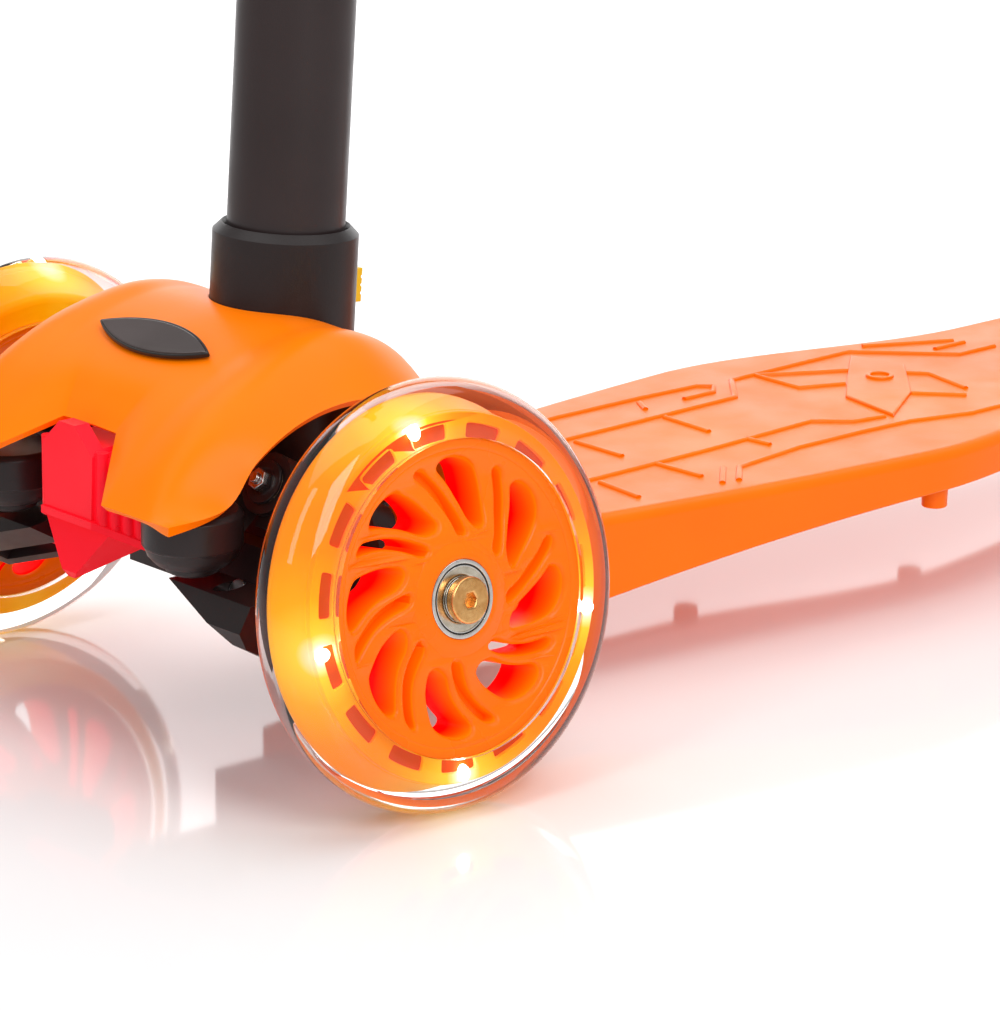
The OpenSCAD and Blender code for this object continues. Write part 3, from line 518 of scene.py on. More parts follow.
def front_core_parts():
    window = swept_outline(WINDOW, lambda r: 2.4 + 5.0 * (r - 18.5) / 20, 2.6, 3.8)
    groove = swept_outline(GROOVE, lambda r: 1.75, 1.8, 1.8)
    step = 360 / WINDOWS
    holes = [rotated(window, step * k) for k in range(WINDOWS)]
    holes += [rotated(groove, step * k) for k in range(WINDOWS)]
    web = plate([circle(42, 128), circle(11.1, 72)] + holes, -PLATE_HALF, PLATE_HALF, 1.35, 4)
    dish(web)
    hub = lathe([(11.05, -HUB_HALF), (12.4, -HUB_HALF, 0.6), (16.4, -9.9, 2), (17.4, -9.2), (17.4, 9.2),
                 (16.4, 9.9, 2), (12.4, HUB_HALF, 0.6), (11.05, HUB_HALF)], 96, 0.3)
    rim = lathe([(40.6, -9), (41.4, -9.75, 1), (43.9, -9.9), (43.9, 9.9), (41.4, 9.75, 1), (40.6, 9)],
                128, 0.5)
    parts = [web, hub, rim]
    for k in range(1, WINDOWS, 2):
        wide = swept_outline(dict(GROOVE, inner=17.8, outer=38.5), lambda r: 2.3, 1.8, 1.8)
        parts.append(plate([rotated(wide, step * k)], -PLATE_HALF + 1.5, GROOVE_FLOOR, 0.2, 1))
    return parts


def glowing_core():
    """Walls of the core openings, with painted shade and a painted glow: red deep down, orange near the face."""
    tree, shader = new_material("core_walls_painted_light")
    coords = tree.nodes.new("ShaderNodeTexCoord")
    split = tree.nodes.new("ShaderNodeSeparateXYZ")
    tree.links.new(coords.outputs["Object"], split.inputs["Vector"])
    ramp = tree.nodes.new("ShaderNodeValToRGB")
    # Painted shade: the walls turn from orange near the face to red deeper in the openings.
    depth = tree.nodes.new("ShaderNodeMapRange")
    depth.inputs["From Min"].default_value = -0.006
    depth.inputs["From Max"].default_value = 0.0075
    tree.links.new(split.outputs["Z"], depth.inputs["Value"])
    ramp.color_ramp.elements[0].color = srgb(255, 0, 0)
    ramp.color_ramp.elements[0].position = 0.25
    ramp.color_ramp.elements[1].color = srgb(255, 110, 0)
    ramp.color_ramp.elements[1].position = 0.95
    tree.links.new(depth.outputs["Result"], ramp.inputs["Fac"])
    tree.links.new(ramp.outputs["Color"], shader.inputs["Base Color"])
    tree.links.new(ramp.outputs["Color"], shader.inputs["Emission Color"])
    # Painted glow: the walls give off light though they are no lamp.
    shader.inputs["Emission Strength"].default_value = 0.4
    shader.inputs["Roughness"].default_value = 0.5
    shader.inputs["Specular IOR Level"].default_value = 0.1
    add_bump(tree, shader, noise(tree, 900).outputs["Fac"], 0.00005)


def glowing_band():
    """Translucent band: bright yellow round each light, orange between."""
    tree, shader = new_material("light_band")
    coords = tree.nodes.new("ShaderNodeTexCoord")
    nearest = None
    for angle in LED_ANGLES:
        a = math.radians(angle)
        distance = tree.nodes.new("ShaderNodeVectorMath")
        distance.operation = "DISTANCE"
        reach = LED_RING_R * MM
        distance.inputs[1].default_value = (reach * math.cos(a), reach * math.sin(a), 0.006)
        tree.links.new(coords.outputs["Object"], distance.inputs[0])
        if nearest is None:
            nearest = distance.outputs["Value"]
            continue
        smallest = tree.nodes.new("ShaderNodeMath")
        smallest.operation = "MINIMUM"
        tree.links.new(nearest, smallest.inputs[0])
        tree.links.new(distance.outputs["Value"], smallest.inputs[1])
        nearest = smallest.outputs["Value"]
    ramp = tree.nodes.new("ShaderNodeValToRGB")
    scaled = tree.nodes.new("ShaderNodeMapRange")
    scaled.inputs["From Min"].default_value = 0.0
    scaled.inputs["From Max"].default_value = 0.05
    tree.links.new(nearest, scaled.inputs["Value"])
    tree.links.new(scaled.outputs["Result"], ramp.inputs["Fac"])
    stops = ramp.color_ramp.elements
    stops[0].position, stops[0].color = 0.05, srgb(255, 246, 190)
    stops[1].position, stops[1].color = 1.0, srgb(255, 130, 0)
    for position, colour in ((0.12, srgb(255, 212, 50)), (0.3, srgb(255, 170, 2)), (0.55, srgb(255, 142, 0))):
        stop = stops.new(position)
        stop.color = colour
    tree.links.new(ramp.outputs["Color"], shader.inputs["Base Color"])
    tree.links.new(ramp.outputs["Color"], shader.inputs["Emission Color"])
    shader.inputs["Emission Strength"].default_value = 0.38
    shader.inputs["Roughness"].default_value = 0.3
    shader.inputs["Specular IOR Level"].default_value = 0.1
    add_bump(tree, shader, noise(tree, 400).outputs["Fac"], 0.00005)


def glowing(name, colour, strength):
    tree, shader = new_material(name)
    fine = noise(tree, 700)
    tree.links.new(two_tone(tree, fine.outputs["Fac"], colour, colour), shader.inputs["Base Color"])
    shader.inputs["Emission Color"].default_value = colour
    shader.inputs["Emission Strength"].default_value = strength
    shader.inputs["Roughness"].default_value = 0.4
    shader.inputs["Specular IOR Level"].default_value = 0.1


glowing_core()
glowing_band()
glowing("notch_floor", srgb(226, 84, 0), 0.12)
glowing("led_lens", (1.0, 0.93, 0.78, 1), 9.0)
moulded("seal", (0.01, 0.01, 0.01, 1), (0.02, 0.018, 0.016, 1))
metal("shield", (0.5, 0.44, 0.34, 1), (0.74, 0.68, 0.56, 1), (0.18, 0.3))


def notch_outline(middle_turn, half_turn, inner, outer):
    """A rounded slot that follows the ring."""
    corners = []
    count = 5
    for k in range(count + 1):
        a = math.radians(middle_turn - half_turn + 2 * half_turn * k / count)
        corners.append((outer * math.cos(a), outer * math.sin(a)))
    for k in range(count, -1, -1):
        a = math.radians(middle_turn - half_turn + 2 * half_turn * k / count)
        corners.append((inner * math.cos(a), inner * math.sin(a)))
    return [tuple(p) for p in soften(corners, 0.9)]


def tyre_parts():
    """Round tyre that grips the core's rim between its two lips."""
    angles = [math.radians(-TYRE_WRAP + 2 * TYRE_WRAP * k / 56) for k in range(57)]
    arc = [(TYRE_MID_R + TYRE_TUBE_R * math.cos(a), TYRE_TUBE_R * math.sin(a)) for a in angles]
    lip = [(TYRE_IN_R, -TYRE_LIP), (TYRE_IN_R, TYRE_LIP)]
    return [(lathe([lip[0]] + arc + [lip[1]], 160, 0.0), 0)]


def band_parts():
    """Ring round the rim, with a row of shallow slots whose floors are a deeper orange."""
    ring = lathe([(TYRE_IN_R + 0.05, -BAND_FRONT), (BAND_R, -BAND_FRONT, 2), (BAND_R, NOTCH_FLOOR, 0.6),
                  (TYRE_IN_R + 0.05, NOTCH_FLOOR)], 144, 0.5)
    notches = [notch_outline(24 * k + 12, 7.6, 44.5, 47.9) for k in range(15)]
    face = plate([circle(BAND_R - 0.1, 144), circle(TYRE_IN_R + 0.05, 144)] + notches,
                 NOTCH_FLOOR - 0.3, BAND_FRONT, 0.3, 2)
    floor = lathe([(44.1, NOTCH_FLOOR - 0.2), (48.4, NOTCH_FLOOR - 0.2), (48.4, NOTCH_FLOOR + 0.06),
                   (44.1, NOTCH_FLOOR + 0.06)], 144, 0.01)
    return [(ring, 0), (face, 0), (floor, 1)]


def light_parts():
    lights = []
    for angle in LED_ANGLES:
        a = math.radians(angle)
        lens = dome_lathe([(0, BAND_FRONT - 1), (1.9, BAND_FRONT - 1), (1.9, BAND_FRONT + 0.7, 0.4),
                           (1.3, BAND_FRONT + 1.6, 0.8), (0, BAND_FRONT + 1.9)], 32, 0.3)
        lights.append((shifted(lens, LED_RING_R * math.cos(a), LED_RING_R * math.sin(a), 0), 0))
    return lights


def axle_bolt_parts():
    face = HUB_HALF + 0.5
    head = plate([circle(6.5, 72), circle(2.25, 6)], HUB_HALF + 0.45, HUB_HALF + 3.4, 0.6, 4)
    socket = dome_lathe([(0, face), (3.2, face), (3.2, face + 0.6), (0, face + 0.4)], 24, 0.05)
    shank = dome_lathe([(0, -35), (3.99, -35, 0.4), (3.99, face), (0, face)], 40, 0.1)
    return [(head, 0), (socket, 0), (shank, 0)]


def front_wheel(side_name):
    place = wheel_place(side_name)
    core = front_core_parts()
    for mesh in core:
        core_walls_painted_light(mesh)
    node = side_name + "_wheel_core"
    stand_in(node + "_look", [(mesh, None) for mesh in core], place, node, ["core_plastic", "core_walls_painted_light"], 40)
    stand_in(side_name + "_tyre_look", tyre_parts(), place, side_name + "_tyre", ["clear_urethane"], 60)
    stand_in(side_name + "_light_band", band_parts(), place, side_name + "_light_ring",
             ["light_band", "notch_floor"])
    stand_in(side_name + "_lights", light_parts(), place, side_name + "_leds", ["led_lens"])
    stand_in(side_name + "_bearing_look", bearing_parts(HUB_HALF), place, side_name + "_bearings",
             BEARING_LOOKS, 30)
    stand_in(side_name + "_bolt_look", axle_bolt_parts(), place, side_name + "_axle_bolt",
             ["yellow_zinc"], 30)


def bearing_parts(half):
    """Two bearings: ground outer and inner rings, a dark clip groove and a pressed shield."""
    parts = []
    for sign in (1, -1):
        outer = half * sign
        inner = (half - 7) * sign
        dip = 0.45 * sign
        clip = 0.15 * sign
        back = outer - dip * 2
        rings = [
            ([(9.75, outer), (10.95, outer), (10.95, inner), (9.75, inner)], 0.25, 0),
            ([(9.25, outer - dip), (9.8, outer - dip), (9.8, inner + dip), (9.25, inner + dip)], 0.02, 1),
            ([(8.95, outer - clip), (9.3, outer - clip), (9.3, back), (8.95, back)], 0.08, 0),
            ([(6.2, outer - dip * 1.2), (6.9, outer - dip * 0.8, 0.3), (9.0, outer - dip * 0.8),
              (9.0, back), (6.2, back)], 0.1, 2),
            ([(4.06, outer), (6.1, outer), (6.1, inner), (4.06, inner)], 0.25, 0),
        ]
        for profile, radius, number in rings:
            parts.append((lathe(profile, 96, radius), number))
    return parts


for name in ("left", "right"):
    front_wheel(name)

# ---- rear wheels --------------------------------------------------------------


def rear_wheel(side_name):
    place = rear_place(side_name)
    spots = [math.radians(60 * k) for k in range(6)]
    holes = [circle(3.4, 32, (20.5 * math.cos(a), 20.5 * math.sin(a))) for a in spots]
    web = plate([circle(26.2, 96)] + holes, -7, 7, 0.8, 3)
    hub = lathe([(9.2, -11), (14.6, -11, 0.9), (16.2, -7.2, 1.4),
                 (16.2, 7.2, 1.4), (14.6, 11, 0.9), (9.2, 11)], 72, 0.3)
    rim = lathe([(24.4, -7.1), (25.8, -10, 1), (27.95, -10), (27.95, 10), (25.8, 10, 1), (24.4, 7.1)],
                96, 0.5)
    node = f"rear_{side_name}_core"
    stand_in(node + "_look", [(web, 0), (hub, 0), (rim, 0)], place, node, ["core_plastic"], 40)
    angles = [math.radians(-59 + 118 * k / 32) for k in range(1, 32)]
    arc = [(26 + 14 * math.cos(a), 14 * math.sin(a)) for a in angles]
    profile = [(28.0, -11.9, 0.3), (31.8, -12, 1.2)] + arc + [(31.8, 12, 1.2), (28.0, 11.9, 0.3)]
    stand_in(f"rear_{side_name}_tyre_look", [(lathe(profile, 112, 0.0), 0)], place, f"rear_{side_name}_tyre",
             ["clear_urethane"], 50)
    stand_in(f"rear_{side_name}_bearing_look", bearing_parts(11), place, f"rear_{side_name}_bearings",
             BEARING_LOOKS, 30)


for name in ("left", "right"):
    rear_wheel(name)

# ---- shroud -----------------------------------------------------------------------

SHROUD_MID = [(-57, 52), (-54, 75), (-46, 97), (-34, 112), (-20, 119.5), (-5, 121.5), (10, 118.8),
              (22, 114.5), (34, 108), (40, 101.5), (44, 95.6)]
SHROUD_RIDGE = [(-57, 52), (-54, 74), (-47, 94), (-36, 109), (-22, 117), (-7, 120), (8, 118), (24, 113),
                (40, 104.5), (53, 93.5), (64, 82.5)]
SHROUD_ROWS = len(SHROUD_MID) - 1
SHROUD_EDGE_Y = 60
ARCH = {"dx": -1, "z": 51.7, "r": 54.9}
SHROUD_WALL = 2.6
COLLAR_BORE_R = 21.25
# Station numbers of the two creases on each side of the middle
CREASES = (3, 5)


def shroud_half_row(i):
    mid, ridge = Vector(SHROUD_MID[i]), Vector(SHROUD_RIDGE[i])
    share = 0.45 if i < 8 else 0.8 if i == 8 else 1.0
    lobe = mid.lerp(ridge, share)
    crease_y = 16 if i < 8 else 16 - 2 * (i - 8)
    a = math.radians(180 - 16 * i)
    edge = (ARCH["dx"] + ARCH["r"] * math.cos(a), ARCH["z"] + ARCH["r"] * math.sin(a))
    if i == SHROUD_ROWS:
        edge = (63.5, 82.5)
    return [Vector((mid.x, 0, mid.y)), Vector((mid.x, crease_y, mid.y - 0.3)),
            Vector((lobe.x, 28 + 0.3 * i, lobe.y)), Vector((ridge.x, 38 + 1.2 * i, ridge.y)),
            Vector((edge[0], SHROUD_EDGE_Y, edge[1]))]


def shroud_row(i):
    half = shroud_half_row(i)
    return [Vector((p.x, -p.y, p.z)) for p in half[:0:-1]] + half


def along(points, t, sharp=lambda k: 0.0):
    """Smooth curve through points at t; sharp(k) from 0 to 1 straightens the line into point k."""
    last = len(points) - 1
    k = min(int(t), last - 1)
    f = t - k
    a, b, c, d = points[max(k - 1, 0)], points[k], points[k + 1], points[min(k + 2, last)]
    chord = c - b
    leave = ((c - a) / 2).lerp(chord, sharp(k))
    arrive = ((d - b) / 2).lerp(chord, sharp(k + 1))
    return (b * (2 * f ** 3 - 3 * f ** 2 + 1) + leave * (f ** 3 - 2 * f ** 2 + f)
            + c * (3 * f ** 2 - 2 * f ** 3) + arrive * (f ** 3 - f ** 2))


def shroud_surface(across_steps=12, along_steps=8):
    rows = []
    for i in range(SHROUD_ROWS + 1):
        crease = max(0.0, min(1.0, (i - 6.5) / 2))

        def sharp(k, crease=crease, i=i):
            if k in CREASES:
                return crease
            if k in (1, 2, 6, 7) and i == SHROUD_ROWS:
                return 1.0
            return 0.0
        rows.append([along(shroud_row(i), j / across_steps, sharp) for j in range(8 * across_steps + 1)])
    mesh = bmesh.new()
    grid = []
    for step in range(SHROUD_ROWS * along_steps + 1):
        t = step / along_steps
        grid.append([mesh.verts.new(along([row[j] for row in rows], t)) for j in range(8 * across_steps + 1)])
    for low, high in zip(grid, grid[1:]):
        for j in range(8 * across_steps):
            mesh.faces.new((low[j], high[j], high[j + 1], low[j + 1]))
    return mesh


def boolean_cut(obj, cutter):
    modifier = obj.modifiers.new("cut", "BOOLEAN")
    modifier.operation = "DIFFERENCE"
    modifier.solver = "EXACT"
    modifier.object = cutter
    apply_modifiers(obj)
    bpy.data.objects.remove(cutter)


def build_shroud():
    skin = shroud_surface()
    bmesh.ops.recalc_face_normals(skin, faces=skin.faces)
    if sum(face.normal.z for face in skin.faces) < 0:
        bmesh.ops.reverse_faces(skin, faces=skin.faces)
    shell = loose_object(skin, "shroud_look", FRONT_AXLE)
    solid = shell.modifiers.new("wall", "SOLIDIFY")
    solid.thickness = SHROUD_WALL * MM
    solid.offset = -1
    solid.use_even_offset = True
    apply_modifiers(shell)
    bore = [(0, 40), (COLLAR_BORE_R, 40), (COLLAR_BORE_R, 85), (0, 85)]
    hole = loose_object(dome_lathe(bore, 96, 0.01), "collar_bore", STEM)
    boolean_cut(shell, hole)
    add_bevel(shell, 0.55, 50, 3)
    shell.data.materials.clear()
    shell.data.materials.append(MATERIALS["shroud_plastic"])
    finish_surface(shell, 28)
    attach(shell, BODY_OF["shroud"])
    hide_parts("shroud")
    low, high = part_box("shroud_screws")
    posts = []
    for y in (low.y + 0.0034, high.y - 0.0034):
        post = lathe([(1.7, 78.2), (4.4, 78.2), (4.8, 118, 1), (1.7, 118)], 40, 0.3)
        posts.append((shifted(post, (low.x + high.x) / 2 / MM - FRONT_X / MM, y / MM, 0), 0))
    piece("shroud_posts", posts, FRONT_AXLE, "shroud", ["shroud_plastic"])


build_shroud()

# ---- badge ------------------------------------------------------------------------

BADGE_SLOPE = math.radians(24)
BADGE_PLACE = (FRONT_AXLE @ Matrix.Translation((20.5 * MM, 0, 115.6 * MM))
               @ Matrix.Rotation(BADGE_SLOPE, 4, "Y"))


def lens_outline(half_len, half_w, steps=20):
    """Two arcs that meet in points; the long way runs across the scooter."""
    r = (half_len ** 2 + half_w ** 2) / (2 * half_w)
    reach = math.asin(half_len / r)
    right = [(half_w - r + r * math.cos(a), r * math.sin(a)) for a in
             [-reach + 2 * reach * k / steps for k in range(steps + 1)]]
    left = [(-x, -y) for x, y in right]
    return [tuple(p) for p in soften(right[:-1] + left[:-1], 1.6)]


def build_badge():
    field = plate([lens_outline(24, 6.4)], 0.2, 1.7, 0.5, 4)
    rim = plate([lens_outline(25, 7.1), lens_outline(23.9, 6.3)], 0.1, 1.5, 0.3, 2)
    stand_in("badge_look", [(field, 0), (rim, 1)], BADGE_PLACE, "badge", ["badge_plastic", "seal"], 40)


build_badge()

# ---- deck ---------------------------------------------------------------------------

DECK_TOP = 50
DECK_WALL = 3
DECK_FRONT_DX = -47
DECK_BACK_DX = -402
SLOT_FRONT_DX = -388
CHEEK_IN_Y = 33
CHEEK_OUT_Y = 42
DECK_EDGE = 3.6
TAPER_DX = -235
TAPER_LEN = 120


def deck_half(dx):
    u = (max(dx, TAPER_DX) + 250) / 150
    waist = 64.6 - 11.3 * u - 7.3 * u * u
    e = min(1.0, max(0.0, (TAPER_DX - dx) / TAPER_LEN))
    blend = 3 * e ** 2 - 2 * e ** 3
    return waist * (1 - blend) + CHEEK_OUT_Y * blend + 10 * e * (1 - e) ** 2


def deck_low(dx):
    u = (dx + 250) / 150
    return max(23.0, 37.2 - 3.4 * u - 11.7 * u * u)


def deck_outline(steps=48):
    """Plan of the main moulding, left side forward to back, then across the wheel slot."""
    side = []
    for i in range(steps + 1):
        dx = DECK_FRONT_DX + (DECK_BACK_DX - DECK_FRONT_DX) * i / steps
        side.append((dx, deck_half(dx)))
    tip_dx = DECK_BACK_DX - 14
    half = side + [(tip_dx, CHEEK_OUT_Y), (tip_dx, CHEEK_IN_Y), (SLOT_FRONT_DX, CHEEK_IN_Y)]
    return half + [(x, -y) for x, y in reversed(half)]


def inset_outline(outline, distance):
    """The outline moved inwards by a distance, corner by corner."""
    count = len(outline)
    result = []
    for i in range(count):
        before, here, after = (Vector(outline[j % count]) for j in (i - 1, i, i + 1))
        d1, d2 = (here - before).normalized(), (after - here).normalized()
        n1, n2 = Vector((-d1.y, d1.x)), Vector((-d2.y, d2.x))
        bisector = (n1 + n2).normalized()
        reach = distance / max(0.35, bisector.dot(n1))
        result.append(here + bisector * reach)
    return result


def signed_area(outline):
    return sum(a[0] * b[1] - b[0] * a[1] for a, b in zip(outline, outline[1:] + outline[:1])) / 2


def fill_between(mesh, loops):
    """Triangles across flat loops of vertices, the later ones holes."""
    edges = []
    for loop in loops:
        for a, b in zip(loop, loop[1:] + loop[:1]):
            edge = mesh.edges.get((a, b)) or mesh.edges.new((a, b))
            edges.append(edge)
    return bmesh.ops.triangle_fill(mesh, use_beauty=True, use_dissolve=False, edges=edges, normal=(0, 0, 1))


def deck_shell():
    outline = deck_outline()
    if signed_area(outline) < 0:
        outline.reverse()
    mesh = bmesh.new()

    def ring(distance, height):
        points = inset_outline(outline, distance) if distance else [Vector(p) for p in outline]
        return [mesh.verts.new((p.x, p.y, height(p.x))) for p in points]

    rings = [ring(0.5, deck_low), ring(0, lambda x: deck_low(x) + 0.5)]
    for k in range(5):
        a = math.radians(90 * k / 4)
        top = DECK_TOP - DECK_EDGE * (1 - math.sin(a))
        rings.append(ring(DECK_EDGE * (1 - math.cos(a)), lambda x, top=top: top))
    for low, high in zip(rings, rings[1:]):
        bridge(mesh, low, high)
    cavity = []
    for distance, height in ((DECK_WALL - 0.5, deck_low), (DECK_WALL, lambda x: deck_low(x) + 0.5),
                             (DECK_WALL + 0.6, lambda x: DECK_TOP - DECK_WALL)):
        cavity.append(ring(distance, height))
    bridge(mesh, rings[0], cavity[0])
    for low, high in zip(cavity, cavity[1:]):
        bridge(mesh, low, high)
    fill_between(mesh, [rings[-1]])
    fill_between(mesh, [cavity[-1]])
    bmesh.ops.recalc_face_normals(mesh, faces=mesh.faces)
    return mesh


def rounded_box(x0, x1, y0, y1, z0, z1, edge=0.4):
    outline = [(x0, y0), (x1, y0), (x1, y1), (x0, y1)]
    return plate([outline], z0, z1, edge, 2)


def side_plate(outlines, y0, y1, edge=0.8):
    """Outlines in X and Z made solid between two Y values."""
    mesh = plate([[(x, z) for x, z in outline] for outline in outlines], -max(y0, y1), -min(y0, y1), edge, 3)
    return moved(mesh, Matrix.Rotation(math.radians(90), 4, "X"))


def deck_parts():
    parts = [deck_shell()]
    axle = (REAR_DX, 40)
    round_end = [(axle[0] + 16 * math.cos(a), axle[1] + 16 * math.sin(a))
                 for a in [math.radians(72 + 196 * k / 28) for k in range(29)]]
    cheek = round_end + [(axle[0] + 14, 27), (-396, 27.5), (-392, 30), (-392, 48), (-418, 48.6),
                         (axle[0] + 13, 50.5)]
    cheek = [tuple(p) for p in soften(cheek, 2)]
    lug_dx = REAR_DX + 52
    lug = [(lug_dx + 6 * math.cos(a), 62 + 6 * math.sin(a))
           for a in [math.radians(180 * k / 16) for k in range(17)]]
    lug += [(lug_dx - 9, 46), (lug_dx + 9, 46)]
    for side in (1, -1):
        parts.append(side_plate([cheek, circle(4, 32, axle)], side * CHEEK_IN_Y, side * CHEEK_OUT_Y, 1.0))
        parts.append(side_plate([lug, circle(2.5, 24, (lug_dx, 62))],
                                side * CHEEK_IN_Y, side * (CHEEK_IN_Y + 8), 0.7))
    ceiling = DECK_TOP - DECK_WALL
    for y in (-26, 0, 26):
        parts.append(rounded_box(-374, -102, y - 1.2, y + 1.2, 38, ceiling + 1))
    for k in range(6):
        dx = -372 + 45 * k
        half = deck_half(dx) - 2
        parts.append(rounded_box(dx - 1.2, dx + 1.2, -half, half, 40, ceiling + 1))
    for dx in (-62, -84):
        for y in (-18, 18):
            boss = lathe([(2, 36.4), (5.5, 36.4), (5.9, ceiling + 1), (2, ceiling + 1)], 32, 0.4)
            parts.append(shifted(boss, dx, y, 0))
    for dx, out in ((-243, 55), (-330, 36)):
        for y in (-out, out):
            boss = lathe([(1.6, 29.4), (4, 29.4), (4.4, ceiling + 1), (1.6, ceiling + 1)], 32, 0.5)
            parts.append(shifted(boss, dx, y, 0))
    return parts


PATTERN_Z = DECK_TOP - 0.15
RIDGE_R = 1.1


def ridge_line(points):
    """A low rounded ridge on the standing surface."""
    fine = []
    for (x0, y0), (x1, y1) in zip(points, points[1:]):
        count = max(1, int(math.hypot(x1 - x0, y1 - y0) / 6))
        fine += [(x0 + (x1 - x0) * k / count, y0 + (y1 - y0) * k / count, PATTERN_Z) for k in range(count)]
    fine.append((points[-1][0], points[-1][1], PATTERN_Z))
    return tube(fine, RIDGE_R, 10, 0.95)


DECK_LINES = [
    [(-104, -40), (-157, -41), (-172, -42), (-209, -42), (-232, -41), (-236, -37), (-231, -32), (-218, -32)],
    [(-104, -20), (-160, -21), (-232, -23), (-246, -39), (-301, -40), (-307, -34), (-327, -14), (-344, -14)],
    [(-104, 17), (-134, 17), (-180, 16), (-230, 13), (-240, 22), (-252, 24)],
    [(-166, 46), (-176, 36), (-206, 32), (-233, 32), (-254, 33), (-276, 39), (-312, 39), (-330, 30)],
    [(-160, 45), (-172, 33)],
    [(-204, -38), (-200, -31)],
    [(-198, -20), (-197, 1)],
    [(-157, -17), (-157, 4)],
    [(-159, 17), (-160, 36)],
    [(-132, 21), (-130, 40)],
    [(-200, 14), (-201, 24)],
    [(-310, -42), (-339, -28)],
    [(-326, -24), (-340, -24)],
    [(-112, -36), (-112, -24)],
    [(-126, -17), (-126, 4)],
    [(-96, 22), (-95, 40)],
    [(-336, 8), (-352, 16), (-378, 16)],
    [(-356, -8), (-356, 10)],
    [(-366, -30), (-380, -18)],
]
EMBLEM = [(-297, -35), (-302, -15), (-279, 10), (-254, 26), (-259, 0), (-276, -16)]
EMBLEM_ARMS = [
    [(-284, -23), (-256, -38), (-256, -18), (-271, -12)],
    [(-296, -9), (-301, -3), (-297, 17)],
    [(-279, 10), (-291, 23)],
]
EMBLEM_RING = (-284, -9)


def pattern_parts():
    """Raised grip pattern: long lines, short ticks and an emblem with a ring."""
    parts = [ridge_line(line) for line in DECK_LINES]
    parts += [ridge_line(arm) for arm in EMBLEM_ARMS]
    parts.append(plate([EMBLEM], DECK_TOP - 1, DECK_TOP + 1.0, 0.7, 3))
    ring = lathe([(2.8, DECK_TOP), (4.8, DECK_TOP), (4.5, DECK_TOP + 1.8, 0.4), (3.1, DECK_TOP + 1.8, 0.4)],
                 48, 0.1)
    parts.append(shifted(ring, *EMBLEM_RING, 0))
    return parts


def build_deck():
    stand_in("deck_look", [(mesh, 0) for mesh in deck_parts()], FRONT_AXLE, "deck", ["orange_plastic"], 32)
    piece("deck_pattern", [(mesh, 0) for mesh in pattern_parts()], FRONT_AXLE, "deck", ["orange_plastic"], 40)


build_deck()

# ---- column and handlebar -----------------------------------------------------------


def column_piece(node, mesh):
    stand_in(node + "_look", [(mesh, 0)], STEM, node, [SLOT_OF[node]])


def pipe(inner, outer, low, high, steps, edge):
    return lathe([(inner, low), (outer, low), (outer, high), (inner, high)], steps, edge)


def on_bar(mesh, side):
    """Lays local Z along the handlebar, outwards to the given side."""
    turn = Matrix.Rotation(math.radians(-90 * side), 4, "X")
    return moved(mesh, Matrix.Translation((0, 0, BAR_S)) @ turn)


def build_column():
    column_piece("lower_tube", pipe(15, 17, 0.3, 400, 128, 0.4))
    column_piece("upper_tube", pipe(12.3, 14.3, 150, 564, 112, 0.4))
    column_piece("handlebar_tube", on_bar(pipe(9.4, 11, -120, 120, 64, 0.3), 1))
    for side_name, side in (("left", 1), ("right", -1)):
        profile = [(11.1, 28), (18.2, 28, 0.8), (19, 29.2, 0.8), (18.6, 31.4, 0.8), (15.6, 33, 0.8)]
        count = 13
        for k in range(count):
            z = 35.5 + 5.6 * k
            swell = 15.3 - 0.7 * math.sin(math.pi * (k + 0.5) / count)
            profile += [(swell - 1.0, z - 0.9, 0.4), (swell, z + 0.3, 0.5), (swell, z + 3.4, 0.5),
                        (swell - 1.0, z + 4.3, 0.4)]
        profile += [(15.4, 109, 1), (17.9, 116, 2), (18, 121.6, 1.4), (16, 124, 1.2), (3, 124, 0.8),
                    (2.4, 122.6, 0.4), (0.4, 122.6), (0.4, 120.3), (11.1, 120.3)]
        column_piece(side_name + "_grip", on_bar(lathe(profile, 72, 0.3), side))


build_column()

# ---- pivot nuts -------------------------------------------------------------------------


def build_pivot_nuts():
    for side_name in ("left", "right"):
        steer = JOINT[side_name + "_steer"]
        place = frame_matrix(Vector(steer["pos_m"]), (0.5, 0, -0.866), steer["axis"])
        washer = lathe([(1.6, 10.3), (6.3, 10.3), (6.3, 11.4, 0.4), (4.2, 11.5, 0.3),
                        (3.6, 11.2, 0.3), (1.6, 11.2)], 48, 0.2)
        nut = plate([circle(3.2, 6, turn=0.3), circle(1.5, 24)], 11.3, 14.3, 0.35, 3)
        thread = dome_lathe([(0, 10), (1.45, 10), (1.45, 15.2, 0.4), (0, 15.4)], 24, 0.1)
        piece(side_name + "_pivot_nut", [(washer, 0), (nut, 1), (thread, 1)], place, "pivot_nuts",
              ["black_plastic", "steel_hardware"])
    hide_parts("pivot_nuts")


build_pivot_nuts()

# ---- pieces that keep their CAD shape ---------------------------------------------------

for node, width in (
        ("front_frame", 0.8), ("stem_collar", 0.3), ("truck_cover", 0.7), ("tie_link", 0.8),
        ("spring_housings", 0.4), ("left_steering_arm", 0.9), ("right_steering_arm", 0.9),
        ("height_clamp", 0.5), ("clamp_lever", 0.5), ("handlebar_tee", 0.8), ("brake_fender", 0.5),
        ("release_button", 0.3), ("pivot_bolts", 0.3), ("rear_axle", 0.3),
        ("rear_axle_nut", 0.3), ("left_link_pin", 0.3), ("right_link_pin", 0.3), ("clamp_bolt", 0.2),
        ("deck_screws", 0.15), ("shroud_screws", 0.15), ("brake_pin", 0.2), ("brake_shoe", 0.2)):
    softened(node, width)
for node in ("left_pivot_bush", "right_pivot_bush", "left_magnet_sleeve", "right_magnet_sleeve",
             "rear_spacers", "centring_springs", "brake_spring"):
    softened(node, 0.15)

# ---- floor, light and camera --------------------------------------------------------------


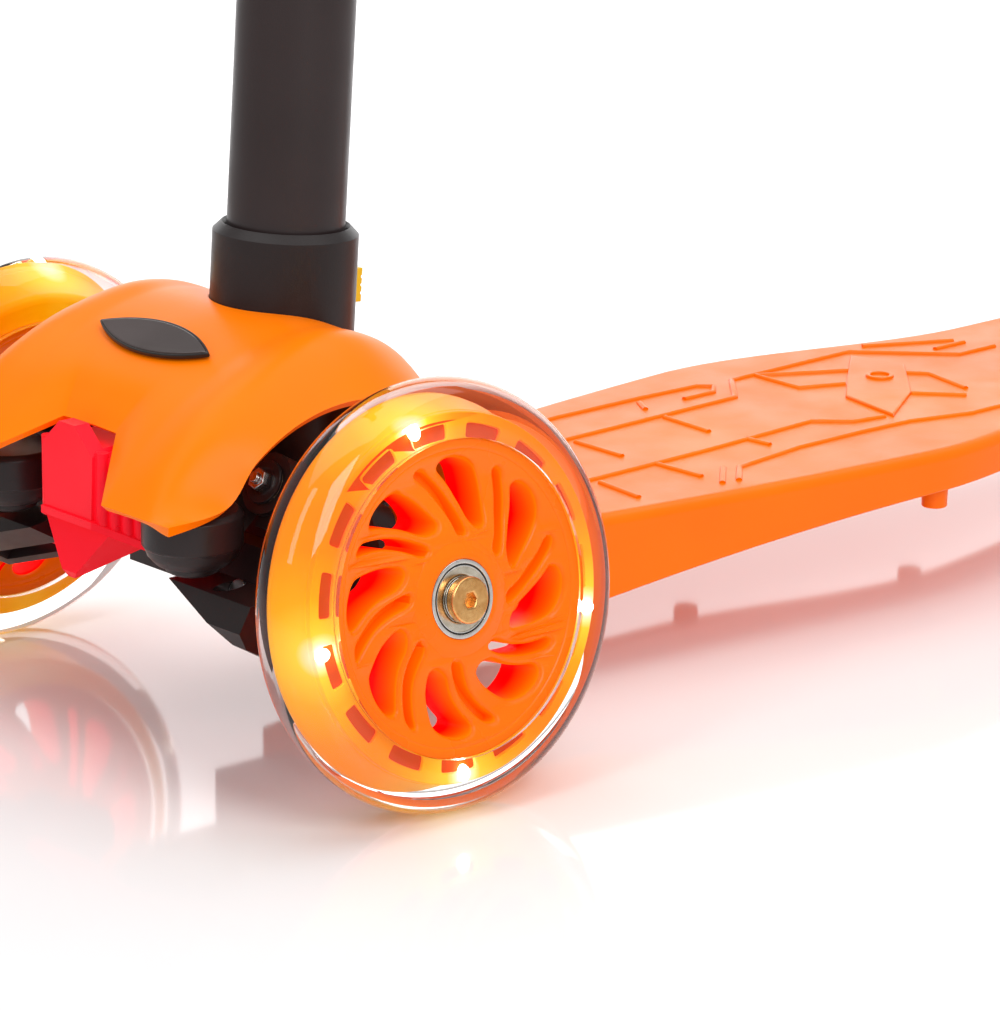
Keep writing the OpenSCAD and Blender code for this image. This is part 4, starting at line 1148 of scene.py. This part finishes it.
def build_floor():
    mesh = bmesh.new()
    bmesh.ops.create_grid(mesh, x_segments=1, y_segments=1, size=6)
    data = bpy.data.meshes.new("floor")
    mesh.to_mesh(data)
    mesh.free()
    floor = bpy.data.objects.new("floor", data)
    bpy.context.scene.collection.objects.link(floor)
    tree, shader = new_material("floor")
    paper = two_tone(tree, noise(tree, 3).outputs["Fac"], (0.9, 0.885, 0.89, 1), (0.92, 0.905, 0.91, 1))
    tree.links.new(paper, shader.inputs["Base Color"])
    shader.inputs["Roughness"].default_value = 0.07
    shader.inputs["IOR"].default_value = 1.5
    data.materials.append(MATERIALS["floor"])
    floor.location.z = -0.0002


def add_light(name, location, target, size, power, colour=(1, 1, 1)):
    data = bpy.data.lights.new(name, "AREA")
    data.shape = "RECTANGLE"
    data.size, data.size_y = size
    data.energy = power
    data.color = colour
    light = bpy.data.objects.new(name, data)
    bpy.context.scene.collection.objects.link(light)
    light.location = location
    light.rotation_euler = (Vector(target) - Vector(location)).to_track_quat("-Z", "Y").to_euler()


def build_light():
    scene = bpy.context.scene
    scene.view_settings.view_transform = "Standard"
    world = bpy.data.worlds.new("studio")
    world.use_nodes = True
    background = world.node_tree.nodes["Background"]
    background.inputs["Color"].default_value = (1, 1, 1, 1)
    background.inputs["Strength"].default_value = 0.46
    scene.world = world
    target = (0.12, 0.0, 0.08)
    add_light("overhead", (-0.1, -0.2, 2.1), target, (3.0, 2.4), 36)
    add_light("backdrop", (-1.7, -1.9, 0.75), (0.0, 0.0, 0.2), (3.6, 1.4), 26)
    add_light("key", (0.5, 1.3, 1.0), target, (0.6, 0.9), 11)
    add_light("strip", (1.3, 0.25, 1.0), target, (0.3, 0.9), 3.5)


PHOTO = {"width": 1000, "height": 1010, "focal": 5000, "azimuth": 42.0, "elevation": 16.4, "roll": 0.5,
         "distance": 1.3644, "aim_x": 436.5, "aim_y": 593.8}


def build_camera():
    """The left wheel's foot of track sits at the aim point of the frame."""
    az, el, roll = (math.radians(PHOTO[key]) for key in ("azimuth", "elevation", "roll"))
    back = Vector((math.sin(az) * math.cos(el), math.cos(az) * math.cos(el), math.sin(el)))
    level = Vector((-math.cos(az), math.sin(az), 0))
    rise = back.cross(level)
    right = level * math.cos(roll) + rise * math.sin(roll)
    up = rise * math.cos(roll) - level * math.sin(roll)
    wheel = centre("left_bearings")
    aim = Vector((wheel.x, wheel.y, 0.060))
    scale = PHOTO["distance"] / PHOTO["focal"]
    location = (aim + back * PHOTO["distance"] - right * (PHOTO["aim_x"] - PHOTO["width"] / 2) * scale
                + up * (PHOTO["aim_y"] - PHOTO["height"] / 2) * scale)
    data = bpy.data.cameras.new("camera")
    data.sensor_width = 36
    data.lens = PHOTO["focal"] / PHOTO["height"] * data.sensor_width
    data.clip_start = 0.05
    data.clip_end = 30
    camera = bpy.data.objects.new("camera", data)
    bpy.context.scene.collection.objects.link(camera)
    camera.matrix_world = Matrix.Translation(location) @ Matrix((right, up, back)).transposed().to_4x4()
    bpy.context.scene.camera = camera


build_floor()
build_light()
build_camera()
